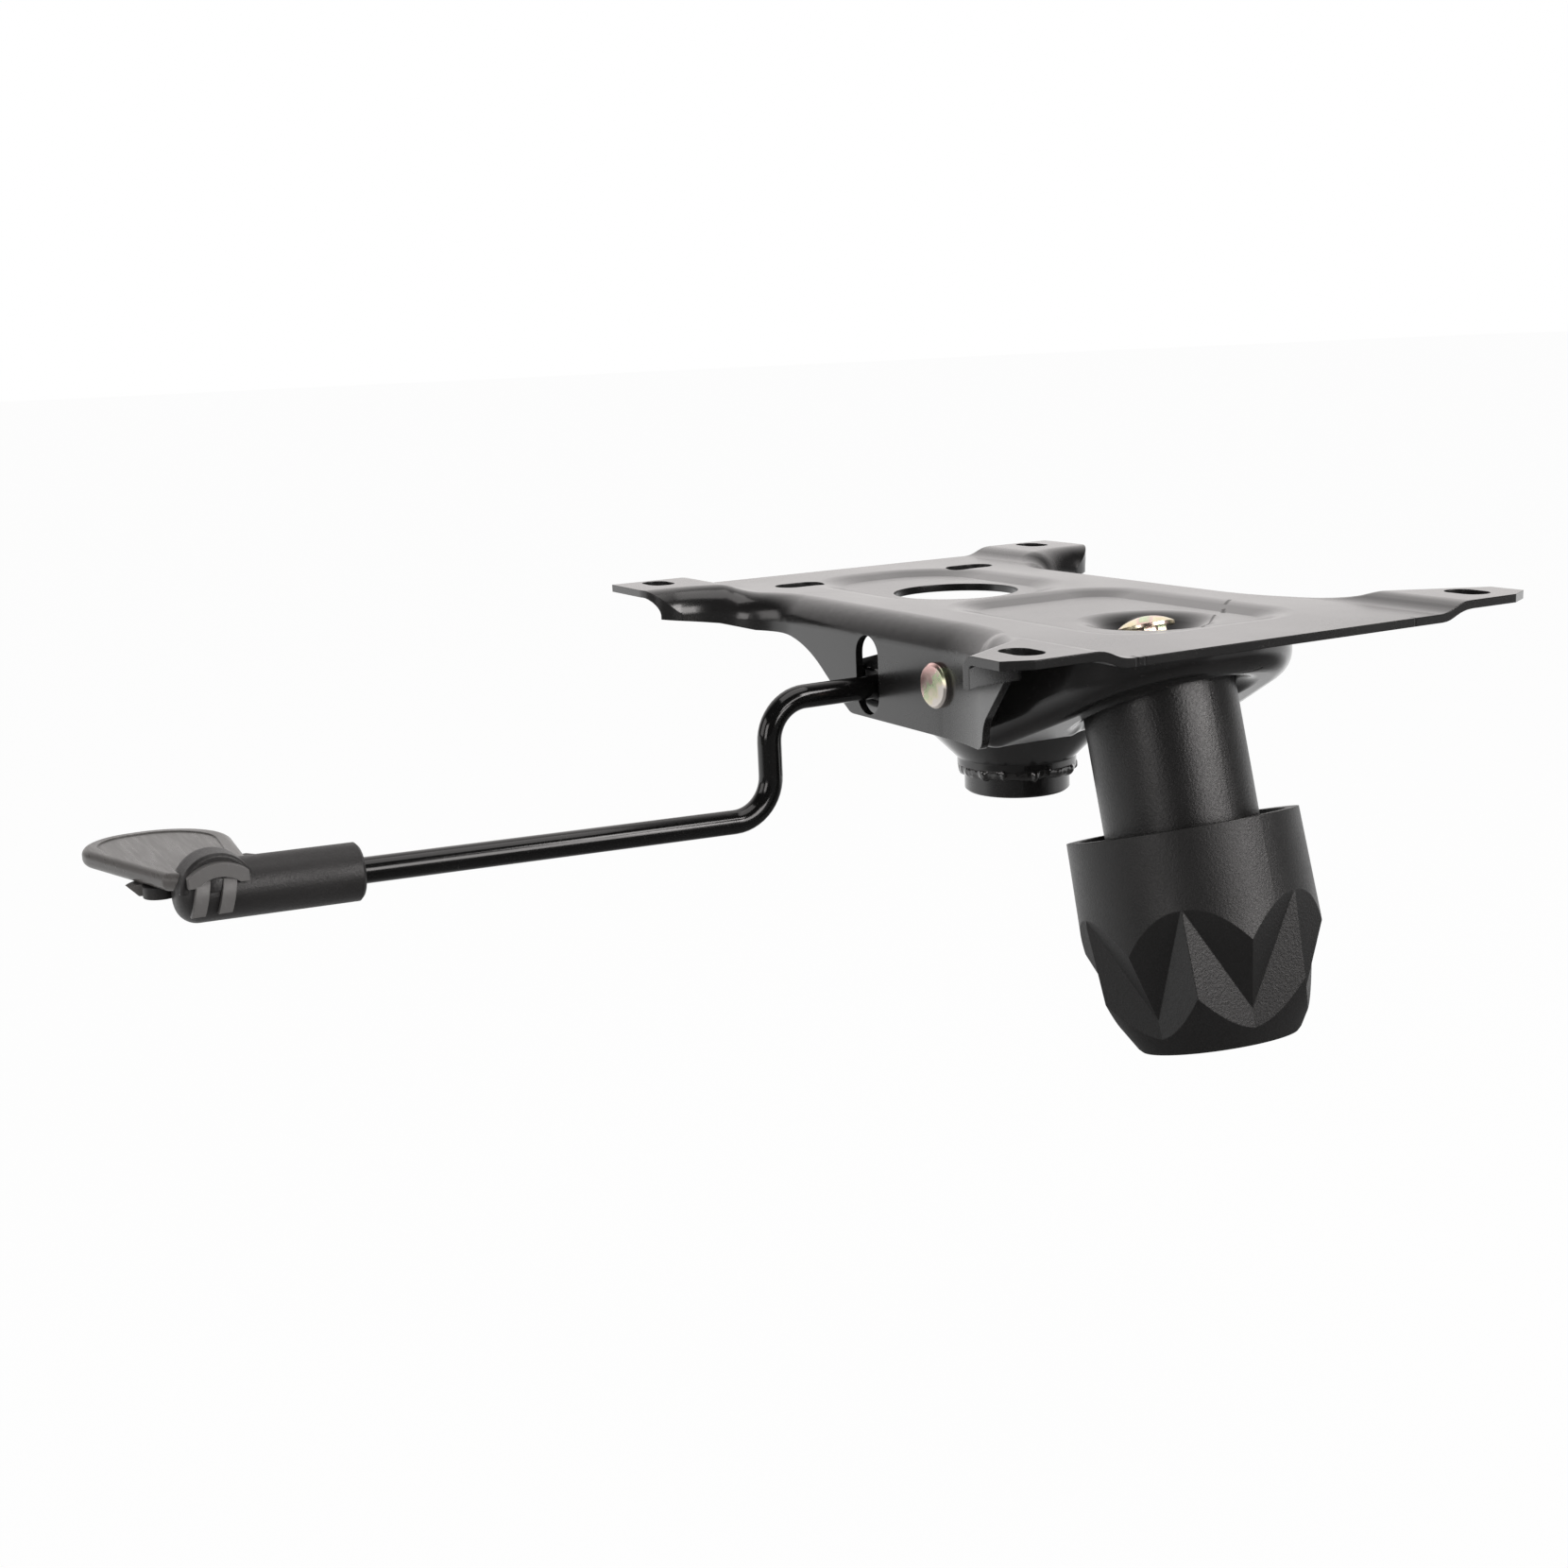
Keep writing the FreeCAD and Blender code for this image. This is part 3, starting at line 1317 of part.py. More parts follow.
def build():
    """Makes every sub-part."""
    make_seat_plate()
    make_housing()
    make_socket()
    make_weld()
    make_pivot_pin()
    make_pivot_bushes()
    make_pivot_spacer()
    make_tension_bolt()
    make_sleeve()
    make_spring()
    make_cap()
    make_thrust_washer()
    make_knob()
    make_nut()
    make_lever_rod()
    make_lever_bush()
    make_stop_ring()
    grip = grip_body()
    make_grip()
    make_clip(grip)
    make_paddle(grip)
    make_post(grip)
    DOC.recompute()


def check_and_write():
    """Stops on any failed object, then writes one file for each sub-part."""
    for item in DOC.Objects:
        if {"Invalid", "Error"} & set(item.State):
            raise RuntimeError(f"{item.Name} failed: {item.State}")
    os.makedirs("parts", exist_ok=True)
    for name in NODES:
        shape = DOC.getObjectsByLabel(name)[0].Shape
        if shape.isNull() or not shape.isValid() or not shape.Solids:
            raise RuntimeError(f"{name} has no valid solid")
        shape.exportStep(f"parts/{name}.step")
        box = shape.BoundBox
        print(f"{name}: {len(shape.Solids)} solid, {shape.Volume:.1f} mm3, "
              f"x {box.XMin:.1f} {box.XMax:.1f}, y {box.YMin:.1f} {box.YMax:.1f}, "
              f"z {box.ZMin:.1f} {box.ZMax:.1f}")


build()
check_and_write()
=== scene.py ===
import bpy
import bmesh
import math
from mathutils import Matrix, Vector, noise


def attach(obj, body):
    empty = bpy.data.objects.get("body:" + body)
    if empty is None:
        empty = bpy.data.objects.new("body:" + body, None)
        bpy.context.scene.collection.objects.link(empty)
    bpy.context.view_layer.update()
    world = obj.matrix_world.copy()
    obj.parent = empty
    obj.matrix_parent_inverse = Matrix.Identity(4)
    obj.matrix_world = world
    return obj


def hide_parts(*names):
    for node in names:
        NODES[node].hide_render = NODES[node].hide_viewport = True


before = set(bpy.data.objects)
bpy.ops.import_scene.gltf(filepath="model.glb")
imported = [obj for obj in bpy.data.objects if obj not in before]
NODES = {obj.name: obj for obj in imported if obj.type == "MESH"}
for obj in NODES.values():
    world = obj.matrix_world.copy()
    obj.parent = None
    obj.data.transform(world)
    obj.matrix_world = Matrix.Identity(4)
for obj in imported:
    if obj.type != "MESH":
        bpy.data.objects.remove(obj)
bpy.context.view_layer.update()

# Camera of the photograph, in the part's frame: metres, degrees, and millimetres for the lens
CAMERA_PLACE = (0.482215, -0.346522, 0.135045)
CAMERA_AZIMUTH = 61.287
CAMERA_ELEVATION = 12.532
CAMERA_ROLL = -2.446
CAMERA_LENS = 44.73
CAMERA_SENSOR = 36.0
CAMERA_CLIP = (0.01, 50.0)

# Sizes repeated from the solids, in metres
SOCKET_RADIUS = 0.01615
WELD_LOW, WELD_HIGH = 0.0054, 0.0099

# Weld bead, in metres: its facets, its swell and what makes it uneven
WELD_AROUND, WELD_SECTION = 260, 14
WELD_SINK_IN = 0.0002
WELD_SWELL = 0.0021
WELD_LUMP, WELD_KNOT, WELD_KNOT_START = 0.0005, 0.0016, 0.1
WELD_SAG, WELD_KNOT_DROP = 0.0007, 0.0012
WELD_WAVES, WELD_WAVE_SHIFT, WELD_WAVE_HEIGHT = 38, 5.0, 0.00005
WELD_GRAIN = 0.00022
WELD_GRAIN_RISE = 1.6
WELD_LUMP_RATE, WELD_KNOT_RATE, WELD_SAG_RATE, WELD_GRAIN_RATE = 2.3, 7.0, 3.3, 26.0
WELD_LUMP_PLACE, WELD_KNOT_PLACE = (4.0, 1.0, 2.0), (1.0, 5.0, 3.0)
WELD_ROUNDNESS = 0.8
WELD_CREASE_DEGREES = 60.0

# Noise scales, in waves per metre
PAINT_CLOUD, PAINT_FINE, PAINT_DUST, PAINT_PEEL = 18.0, 900.0, 1500.0, 260.0
PLASTIC_CLOUD, PLASTIC_GRAIN = 30.0, 1500.0
ZINC_CLOUD, ZINC_SCRATCH, ZINC_RIPPLE = 150.0, 2600.0, 700.0
RIVET_CLOUD, RIVET_RIPPLE = 340.0, 500.0
STEEL_CLOUD, STEEL_GRAIN = 120.0, 1400.0
WELD_RIPPLE = 420.0
GREY_CLOUD, GREY_GRAIN = 45.0, 1800.0
FLOOR_CLOUD = 6.0

# The middle band of a noise, where most of its values lie
NOISE_BAND = (0.3, 0.7)

# Relief of a fine noise: height in metres and strength
FINE_RELIEF = (0.00002, 0.5)

# Paint
PAINT_TONE = (0.009, 0.009, 0.009)
PAINT_CLOUD_TONE, PAINT_CLOUD_SWING, PAINT_FINE_SWING = 1.7, (-0.04, 0.05), (-0.012, 0.012)
PAINT_ROUGH, PAINT_COAT, PAINT_COAT_ROUGH = 0.24, 0.6, 0.16
PAINT_PEEL_HEIGHT = 0.00002
PAINT_EDGE = 0.0005
DUST_BAND, DUST_SHARE, DUST_TONE = (0.70, 0.78), 0.15, (0.16, 0.155, 0.15)
# Scar grooves: floor share of the width, painted shade that darkens the groove's colour, and added
# roughness
SCAR_FLOOR, SCAR_PAINTED_SHADE, SCAR_ROUGH = 0.3, 0.3, 0.6

# Plastics
PLASTIC_TONE = (0.011, 0.011, 0.011)
PLASTIC_ROUGH = 0.4
PLASTIC_CLOUD_TONE, PLASTIC_CLOUD_SWING, PLASTIC_PIT_SWING = 1.5, (-0.05, 0.05), (0.06, -0.06)
PLASTIC_GRAIN_HEIGHT = 0.00009
PLASTIC_EDGE = 0.0004
GREY_CLOUD_TONE, GREY_SWING = 1.25, (-0.06, 0.08)
FLOW_SCALE, FLOW_TURN = (60.0, 900.0, 300.0), (0.0, 0.0, 0.7)
SCRATCH_BAND, SCRATCH_SHARE, SCRATCH_TONE = (0.62, 0.75), 0.35, 1.9

# Zinc
ZINC_STOPS = (
    (0.30, (0.86, 0.80, 0.66)), (0.42, (0.93, 0.80, 0.52)), (0.50, (0.95, 0.90, 0.66)),
    (0.56, (0.90, 0.62, 0.58)), (0.63, (0.62, 0.78, 0.50)), (0.70, (0.90, 0.84, 0.62)),
)
ZINC_EDGE = 0.0003
ZINC_ROUGH = (0.2, 0.34)
ZINC_RELIEF = (0.00003, 0.5)
RIVET_MIDDLE = (0.037, 0.0, 0.043)
RIVET_SLANT = (62.0, 0.0, -66.0)
RIVET_CLOUD_SPAN = (0.1, 0.9)
RIVET_BAND, RIVET_ROUGH = (0.2, 0.8), (0.22, 0.34)
RIVET_STOPS = (
    (0.14, (1.0, 0.66, 0.62)), (0.36, (1.0, 0.78, 0.70)), (0.44, (0.74, 0.86, 0.56)),
    (0.58, (0.84, 0.88, 0.60)), (0.68, (1.0, 0.92, 0.72)), (0.86, (1.0, 0.93, 0.86)),
)

# Steel
STEEL_STOPS = ((0.3, (0.28, 0.27, 0.26)), (0.7, (0.46, 0.45, 0.44)))
STEEL_ROUGH = (0.28, 0.45)

# Paint on the weld
WELD_TONES = ((0.010, 0.010, 0.010), (0.03, 0.029, 0.028))
WELD_ROUGH = (0.10, 0.24)
WELD_RELIEF = (0.0003, 0.6)
WELD_SPECULAR, WELD_COAT, WELD_COAT_ROUGH = 0.7, 0.7, 0.08

# Scars in the paint: start, end, width and depth, in metres; each groove also carries painted
# shade that darkens its colour
PLATE_SCARS = (
    ((0.0835, 0.0014, 0.0582), (0.0680, 0.0195, 0.0582), 0.0005, 0.0005),
    ((0.0667, 0.0236, 0.0595), (0.0640, 0.0262, 0.0600), 0.0007, 0.0005),
    ((0.0606, 0.0300, 0.0600), (0.0573, 0.0345, 0.0600), 0.0007, 0.0004),
    ((0.1175, -0.0500, 0.0600), (0.1200, -0.0500, 0.0600), 0.0006, 0.0005),
    ((0.1182, -0.0475, 0.0600), (0.1200, -0.0475, 0.0600), 0.0004, 0.0003),
    ((0.1180, 0.0424, 0.0600), (0.1200, 0.0424, 0.0600), 0.0005, 0.0004),
)
HOUSING_SCARS = (
    ((0.0926, 0.0037, 0.0460), (0.0940, 0.0126, 0.0467), 0.0007, 0.0006),
)

# Studio: directions, and falls as distance or facing from, to, level from, to
FLOOR_HEIGHT = -0.20
FLOOR_REACH = 40.0
FLOOR_TONE, FLOOR_SHADE, FLOOR_SHOWN = 0.86, 0.985, 0.97
FLOOR_ROUGH = (0.8, 0.9)
BACKDROP_WAY = (-0.86, 0.48, 0.17)
WORLD_FALL = (0.20, 0.95, 0.03, 1.0)
FRONT_WAY = (0.877, -0.48, 0.0)
# Painted pool of light on the floor, seen only in reflections: its fall towards the front, its
# middle and its reach
LIGHT_POOL_FALL = (0.12, 0.50, 1.0, 0.10)
LIGHT_POOL_MIDDLE = (0.25, 0.15, FLOOR_HEIGHT)
LIGHT_POOL_REACH = (0.35, 0.72, 0.10, 1.0)
LIGHT_TINT = (1.0, 0.965, 0.955)

# Lamps: name, place, aim, size in metres, watts
LAMPS = (
    ("top", (0.1, 0.0, 1.5), (0.0, 0.0, 0.03), (1.2, 1.2), 7.0),
    ("front_right", (1.3, 0.75, 0.75), (0.06, 0.0, 0.0), (0.45, 0.8), 9.0),
    ("left", (-0.5, -1.6, 0.5), (0.0, 0.0, 0.0), (1.0, 0.8), 4.0),
    ("low_right", (1.5, 0.25, 0.42), (0.06, 0.0, 0.03), (0.8, 0.6), 8.0),
    ("low_left", (0.6, -1.4, 0.3), (0.0, 0.0, 0.03), (0.5, 0.6), 3.0),
)

# White, and the mask that keeps only the level directions
WHITE = (1.0, 1.0, 1.0)
FLAT = (1.0, 1.0, 0.0)

# Sockets of the mix node in colour mode: factor, first and second colour, and its result
MIX_SOCKETS = (0, 6, 7)
MIX_RESULT = 2


# Node helpers


def toned(tone, factor):
    """A colour made lighter or darker."""
    return tuple(value * factor for value in tone)


def around(middle, swing):
    """The two ends of a swing about a value."""
    return tuple(middle + share for share in swing)


def set_range(node, numbers):
    """Sets the four limits of a map range node."""
    for key, number in zip(("From Min", "From Max", "To Min", "To Max"), numbers):
        node.inputs[key].default_value = number


class Tree:
    """A small wrapper that adds and links the nodes of one material."""

    def __init__(self, name):
        self.material = bpy.data.materials.new(name)
        self.material.use_nodes = True
        self.nodes = self.material.node_tree.nodes
        self.links = self.material.node_tree.links
        self.shader = self.nodes["Principled BSDF"]
        self.place = self.add("ShaderNodeTexCoord").outputs["Object"]

    def add(self, kind, **settings):
        node = self.nodes.new(kind)
        for key, value in settings.items():
            setattr(node, key, value)
        return node

    def link(self, source, target):
        self.links.new(source, target)

    def noise(self, scale, detail=2.0, rough=0.5, vector=None):
        node = self.add("ShaderNodeTexNoise")
        node.inputs["Scale"].default_value = scale
        node.inputs["Detail"].default_value = detail
        node.inputs["Roughness"].default_value = rough
        self.link(vector or self.place, node.inputs["Vector"])
        return node.outputs["Fac"]

    def span(self, value, low, high, to_low, to_high):
        node = self.add("ShaderNodeMapRange")
        set_range(node, (low, high, to_low, to_high))
        self.link(value, node.inputs["Value"])
        return node.outputs["Result"]

    def spread(self, value, to_low, to_high):
        """Spreads the middle band of a noise over a range."""
        return self.span(value, *NOISE_BAND, to_low, to_high)

    def math(self, operation, first, second):
        node = self.add("ShaderNodeMath", operation=operation)
        for socket, value in zip(node.inputs, (first, second)):
            if isinstance(value, (int, float)):
                socket.default_value = value
            else:
                self.link(value, socket)
        return node.outputs["Value"]

    def vector(self, operation, first, second=None, scale=None, output="Vector"):
        node = self.add("ShaderNodeVectorMath", operation=operation)
        for socket, value in zip(node.inputs, (first, second)):
            if isinstance(value, tuple):
                socket.default_value = value
            elif value is not None:
                self.link(value, socket)
        if scale is not None:
            self.link(scale, node.inputs["Scale"])
        return node.outputs[output]

    def line(self, start, end):
        """How far a point lies from a line between two points, seen from above."""
        way = tuple((b - a) * keep for a, b, keep in zip(start, end, FLAT))
        whole = sum(value * value for value in way)
        arm = self.vector("MULTIPLY", self.vector("SUBTRACT", self.place, start), FLAT)
        share = self.math("DIVIDE", self.vector("DOT_PRODUCT", arm, way, output="Value"), whole)
        share = self.span(share, 0.0, 1.0, 0.0, 1.0)
        nearest = self.vector("SCALE", way, scale=share)
        return self.vector("LENGTH", self.vector("SUBTRACT", arm, nearest), output="Value")

    def ramp(self, value, stops):
        node = self.add("ShaderNodeValToRGB")
        elements = node.color_ramp.elements
        while len(elements) < len(stops):
            elements.new(0.5)
        for element, (place, color) in zip(elements, stops):
            element.position = place
            element.color = (*color, 1.0)
        self.link(value, node.inputs["Fac"])
        return node.outputs["Color"]

    def mix(self, factor, first, second):
        """Mixes two colours, each a tone or a link."""
        node = self.add("ShaderNodeMix", data_type="RGBA")
        for place, value in zip(MIX_SOCKETS, (factor, first, second)):
            socket = node.inputs[place]
            if isinstance(value, tuple):
                socket.default_value = (*value, 1.0)
            elif isinstance(value, (int, float)):
                socket.default_value = value
            else:
                self.link(value, socket)
        return node.outputs[MIX_RESULT]

    def bump(self, height, distance, strength=1.0, normal=None):
        node = self.add("ShaderNodeBump")
        node.inputs["Distance"].default_value = distance
        node.inputs["Strength"].default_value = strength
        self.link(height, node.inputs["Height"])
        if normal:
            self.link(normal, node.inputs["Normal"])
        return node.outputs["Normal"]

    def soft_edge(self, radius):
        node = self.add("ShaderNodeBevel", samples=6)
        node.inputs["Radius"].default_value = radius
        return node.outputs["Normal"]

    def finish(self, color, rough, normal=None, metal=0.0, specular=0.5, coat=0.0, coat_rough=0.1):
        """Links the surface's colour, roughness and relief, and sets what is the same all over."""
        inputs = self.shader.inputs
        self.link(color, inputs["Base Color"])
        self.link(rough, inputs["Roughness"])
        if normal:
            self.link(normal, inputs["Normal"])
        inputs["Metallic"].default_value = metal
        inputs["Specular IOR Level"].default_value = specular
        inputs["Coat Weight"].default_value = coat
        inputs["Coat Roughness"].default_value = coat_rough
        return self.material


# Materials


def black_paint(name, tone=PAINT_TONE, rough=PAINT_ROUGH, coat=PAINT_COAT,
                peel=PAINT_PEEL_HEIGHT, scars=()):
    """Satin black paint over pressed steel: faint orange peel, dust, cloudy gloss and scars, with
    painted shade darkening the scar grooves.
    """
    t = Tree(name)
    broad = t.noise(PAINT_CLOUD, 3.0)
    fine = t.noise(PAINT_FINE, 3.0)
    dust = t.span(t.noise(PAINT_DUST, 1.0), *DUST_BAND, 0.0, DUST_SHARE)
    color = t.mix(broad, tone, toned(tone, PAINT_CLOUD_TONE))
    color = t.mix(dust, color, DUST_TONE)
    roughness = t.math("ADD", t.spread(broad, *around(rough, PAINT_CLOUD_SWING)),
                       t.spread(fine, *PAINT_FINE_SWING))
    normal = t.bump(t.noise(PAINT_PEEL), peel, 1.0, t.soft_edge(PAINT_EDGE))
    for start, end, width, depth in scars:
        groove = t.span(t.line(start, end), SCAR_FLOOR * width, width, 0.0, 1.0)
        normal = t.bump(groove, depth, 1.0, normal)
        # Painted shade: the colour is darkened inside each scar's groove
        color = t.mix(groove, toned(tone, SCAR_PAINTED_SHADE), color)
        roughness = t.math("ADD", roughness, t.span(groove, 0.0, 1.0, SCAR_ROUGH, 0.0))
    return t.finish(color, roughness, normal, coat=coat, coat_rough=PAINT_COAT_ROUGH)


def black_plastic(name, tone=PLASTIC_TONE, rough=PLASTIC_ROUGH, grain=PLASTIC_GRAIN,
                  depth=PLASTIC_GRAIN_HEIGHT):
    """Moulded black plastic with a fine eroded grain that breaks up its shine."""
    t = Tree(name)
    broad = t.noise(PLASTIC_CLOUD)
    pits = t.noise(grain, 3.0, 0.6)
    color = t.mix(broad, tone, toned(tone, PLASTIC_CLOUD_TONE))
    roughness = t.math("ADD", t.spread(broad, *around(rough, PLASTIC_CLOUD_SWING)),
                       t.spread(pits, *PLASTIC_PIT_SWING))
    normal = t.bump(pits, depth, 1.0, t.soft_edge(PLASTIC_EDGE))
    return t.finish(color, roughness, normal)


def yellow_zinc(name, bright=1.0):
    """Yellow passivated zinc, clouded with pink and green."""
    t = Tree(name)
    stops = [(place, toned(tone, bright)) for place, tone in ZINC_STOPS]
    color = t.ramp(t.noise(ZINC_CLOUD), stops)
    roughness = t.spread(t.noise(ZINC_SCRATCH), *ZINC_ROUGH)
    normal = t.bump(t.noise(ZINC_RIPPLE), *ZINC_RELIEF, t.soft_edge(ZINC_EDGE))
    return t.finish(color, roughness, normal, metal=1.0)


def clouded_rivet(name):
    """The rivet's head: plain yellow zinc in slanting clouds of pink, green and cream."""
    t = Tree(name)
    across = t.vector("SUBTRACT", t.place, RIVET_MIDDLE)
    slant = t.vector("DOT_PRODUCT", across, RIVET_SLANT, output="Value")
    cloud = t.span(t.noise(RIVET_CLOUD), 0.0, 1.0, *RIVET_CLOUD_SPAN)
    cloud = t.math("ADD", slant, cloud)
    roughness = t.span(cloud, *RIVET_BAND, *RIVET_ROUGH)
    normal = t.bump(t.noise(RIVET_RIPPLE), *FINE_RELIEF, t.soft_edge(ZINC_EDGE))
    return t.finish(t.ramp(cloud, RIVET_STOPS), roughness, normal, metal=1.0)


def bare_steel(name):
    """Oiled steel, slightly clouded."""
    t = Tree(name)
    cloud = t.noise(STEEL_CLOUD, 4.0)
    roughness = t.spread(cloud, *STEEL_ROUGH)
    grain = t.bump(t.noise(STEEL_GRAIN), *FINE_RELIEF)
    return t.finish(t.ramp(cloud, STEEL_STOPS), roughness, grain, metal=1.0)


def weld_paint(name):
    """Painted weld: glossy and rippled."""
    t = Tree(name)
    ripple = t.noise(WELD_RIPPLE, 3.0)
    color = t.mix(ripple, *WELD_TONES)
    roughness = t.spread(ripple, *WELD_ROUGH)
    relief = t.bump(ripple, *WELD_RELIEF)
    return t.finish(color, roughness, relief, specular=WELD_SPECULAR, coat=WELD_COAT,
                    coat_rough=WELD_COAT_ROUGH)


def grey_plastic(name, tone, rough):
    """Satin grey plastic with faint flow marks and rubbed scratches."""
    t = Tree(name)
    broad = t.noise(GREY_CLOUD, 3.0)
    stretch = t.add("ShaderNodeMapping")
    stretch.inputs["Scale"].default_value = FLOW_SCALE
    stretch.inputs["Rotation"].default_value = FLOW_TURN
    t.link(t.place, stretch.inputs["Vector"])
    scratch = t.noise(1.0, 3.0, 0.6, stretch.outputs["Vector"])
    rubbed = t.span(scratch, *SCRATCH_BAND, 0.0, SCRATCH_SHARE)
    color = t.mix(broad, tone, toned(tone, GREY_CLOUD_TONE))
    color = t.mix(rubbed, color, toned(tone, SCRATCH_TONE))
    roughness = t.spread(scratch, *around(rough, GREY_SWING))
    grain = t.bump(t.noise(GREY_GRAIN), *FINE_RELIEF, t.soft_edge(PLASTIC_EDGE))
    return t.finish(color, roughness, grain)


# Detailed pieces


def weld_ring(angle):
    """The points of the bead's section at one angle round the socket."""
    out = Vector((math.cos(angle), math.sin(angle), 0.0))
    lump = noise.noise(out * WELD_LUMP_RATE + Vector(WELD_LUMP_PLACE))
    knot = noise.noise(out * WELD_KNOT_RATE + Vector(WELD_KNOT_PLACE))
    knot = max(0.0, knot - WELD_KNOT_START)
    wave = math.sin(angle * WELD_WAVES + WELD_WAVE_SHIFT * lump) * WELD_WAVE_HEIGHT
    swell = WELD_SWELL + WELD_LUMP * lump + WELD_KNOT * knot + wave
    sink = WELD_SAG * noise.noise(out * WELD_SAG_RATE) - WELD_KNOT_DROP * knot
    middle = (WELD_LOW + WELD_HIGH) / 2 + sink
    half = (WELD_HIGH - WELD_LOW) / 2
    points = []
    for j in range(WELD_SECTION + 1):
        lean = math.pi * (j / WELD_SECTION - 0.5)
        place = out * WELD_GRAIN_RATE + Vector((0.0, 0.0, lean * WELD_GRAIN_RISE))
        bulge = (swell + WELD_GRAIN * noise.noise(place)) * math.cos(lean) ** WELD_ROUNDNESS
        reach = SOCKET_RADIUS - WELD_SINK_IN + bulge
        points.append(out * reach + Vector((0.0, 0.0, middle + half * math.sin(lean))))
    return points


def weld_bead():
    """The uneven bead of weld between the socket tube and the housing's neck."""
    bm = bmesh.new()
    turns = [2 * math.pi * i / WELD_AROUND for i in range(WELD_AROUND)]
    rings = [[bm.verts.new(point) for point in weld_ring(angle)] for angle in turns]
    for ring, ahead in zip(rings, rings[1:] + rings[:1]):
        for j in range(WELD_SECTION + 1):
            k = (j + 1) % (WELD_SECTION + 1)
            bm.faces.new((ring[j], ahead[j], ahead[k], ring[k]))
    bmesh.ops.recalc_face_normals(bm, faces=bm.faces)
    mesh = bpy.data.meshes.new("weld_bead")
    bm.to_mesh(mesh)
    bm.free()
    mesh.shade_smooth()
    mesh.set_sharp_from_angle(angle=math.radians(WELD_CREASE_DEGREES))
    piece = bpy.data.objects.new("weld_bead", mesh)
    bpy.context.collection.objects.link(piece)
    return piece


# Dressing of the solids

PAINT = black_paint("black_paint")
HOUSING_PAINT = black_paint("housing_paint", rough=0.17, scars=HOUSING_SCARS)
PLATE_PAINT = black_paint("plate_paint", scars=PLATE_SCARS)
ROD_PAINT = black_paint("rod_paint", tone=(0.004, 0.004, 0.004), rough=0.10, coat=0.15,
                        peel=0.000004)
KNOB_PLASTIC = black_plastic("knob_plastic")
SLEEVE_PLASTIC = black_plastic("sleeve_plastic", rough=0.36, grain=1300.0)
GRIP_PLASTIC = black_plastic("grip_plastic", tone=(0.018, 0.0175, 0.0175), rough=0.46)
NYLON = black_plastic("nylon", rough=0.35, grain=900.0, depth=0.00002)
ZINC = yellow_zinc("yellow_zinc")
RIVET_ZINC = clouded_rivet("rivet_zinc")
BOLT_ZINC = yellow_zinc("bolt_zinc", 1.05)
STEEL = bare_steel("bare_steel")
PADDLE_PLASTIC = grey_plastic("paddle_plastic", (0.105, 0.102, 0.098), 0.30)
CLIP_PLASTIC = grey_plastic("clip_plastic", (0.12, 0.119, 0.117), 0.4)
WELD_PAINT = weld_paint("weld_paint")

FINISHES = {
    "seat_plate": PLATE_PAINT, "tilt_housing": HOUSING_PAINT,
    "cylinder_socket": PAINT, "socket_weld": WELD_PAINT,
    "pivot_pin": RIVET_ZINC, "pivot_bush_near": NYLON, "pivot_bush_far": NYLON,
    "pivot_spacer": STEEL,
    "tension_bolt": BOLT_ZINC, "spring_sleeve": SLEEVE_PLASTIC, "compression_spring": STEEL,
    "spring_cap": NYLON, "thrust_washer": STEEL, "tension_knob": KNOB_PLASTIC, "knob_nut": ZINC,
    "lever_rod": ROD_PAINT, "lever_bush": NYLON, "lever_stop_ring": STEEL,
    "handle_grip": GRIP_PLASTIC, "handle_clip": CLIP_PLASTIC, "handle_paddle": PADDLE_PLASTIC,
    "handle_post": GRIP_PLASTIC,
}


def dress_nodes():
    """Gives every carried-over solid its material."""
    for name, node in NODES.items():
        node.data.materials.clear()
        node.data.materials.append(FINISHES[name])


dress_nodes()

bead = weld_bead()
bead.data.materials.append(WELD_PAINT)
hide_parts("socket_weld")
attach(bead, "housing")


# Studio


def plain_white(name):
    """A pale surface that the camera sees as nearly white, with the object's shadow kept, and a
    painted pool of light near the object that only reflections show.
    """
    t = Tree(name)
    grain = t.noise(FLOOR_CLOUD)
    base = toned(WHITE, FLOOR_TONE)
    t.finish(t.mix(grain, base, toned(base, FLOOR_SHADE)), t.spread(grain, *FLOOR_ROUGH))
    glow = t.add("ShaderNodeEmission")
    blend = t.add("ShaderNodeMixShader")
    path = t.add("ShaderNodeLightPath")
    # Painted light: a pool of glow on the floor near the object that fades towards the front and
    # with distance, and that glossy rays see
    ahead = t.vector("DOT_PRODUCT", t.place, FRONT_WAY, output="Value")
    away = t.vector("LENGTH", t.vector("SUBTRACT", t.place, LIGHT_POOL_MIDDLE), output="Value")
    painted_light_pool = t.math("MULTIPLY", t.span(ahead, *LIGHT_POOL_FALL), t.span(away, *LIGHT_POOL_REACH))
    t.link(t.math("MAXIMUM", path.outputs["Is Camera Ray"], painted_light_pool), glow.inputs["Strength"])
    seen = t.math("MAXIMUM", path.outputs["Is Camera Ray"], path.outputs["Is Glossy Ray"])
    t.link(t.math("MULTIPLY", seen, FLOOR_SHOWN), blend.inputs["Fac"])
    t.link(t.shader.outputs["BSDF"], blend.inputs[1])
    t.link(glow.outputs["Emission"], blend.inputs[2])
    t.link(blend.outputs["Shader"], t.nodes["Material Output"].inputs["Surface"])
    return t.material


def make_floor():
    """A wide pale floor well below the object."""
    mesh = bpy.data.meshes.new("floor")
    signs = ((-1, -1), (1, -1), (1, 1), (-1, 1))
    corners = [(x * FLOOR_REACH, y * FLOOR_REACH, FLOOR_HEIGHT) for x, y in signs]
    mesh.from_pydata(corners, [], [(0, 1, 2, 3)])
    floor = bpy.data.objects.new("floor", mesh)
    bpy.context.collection.objects.link(floor)
    mesh.materials.append(plain_white("floor_white"))


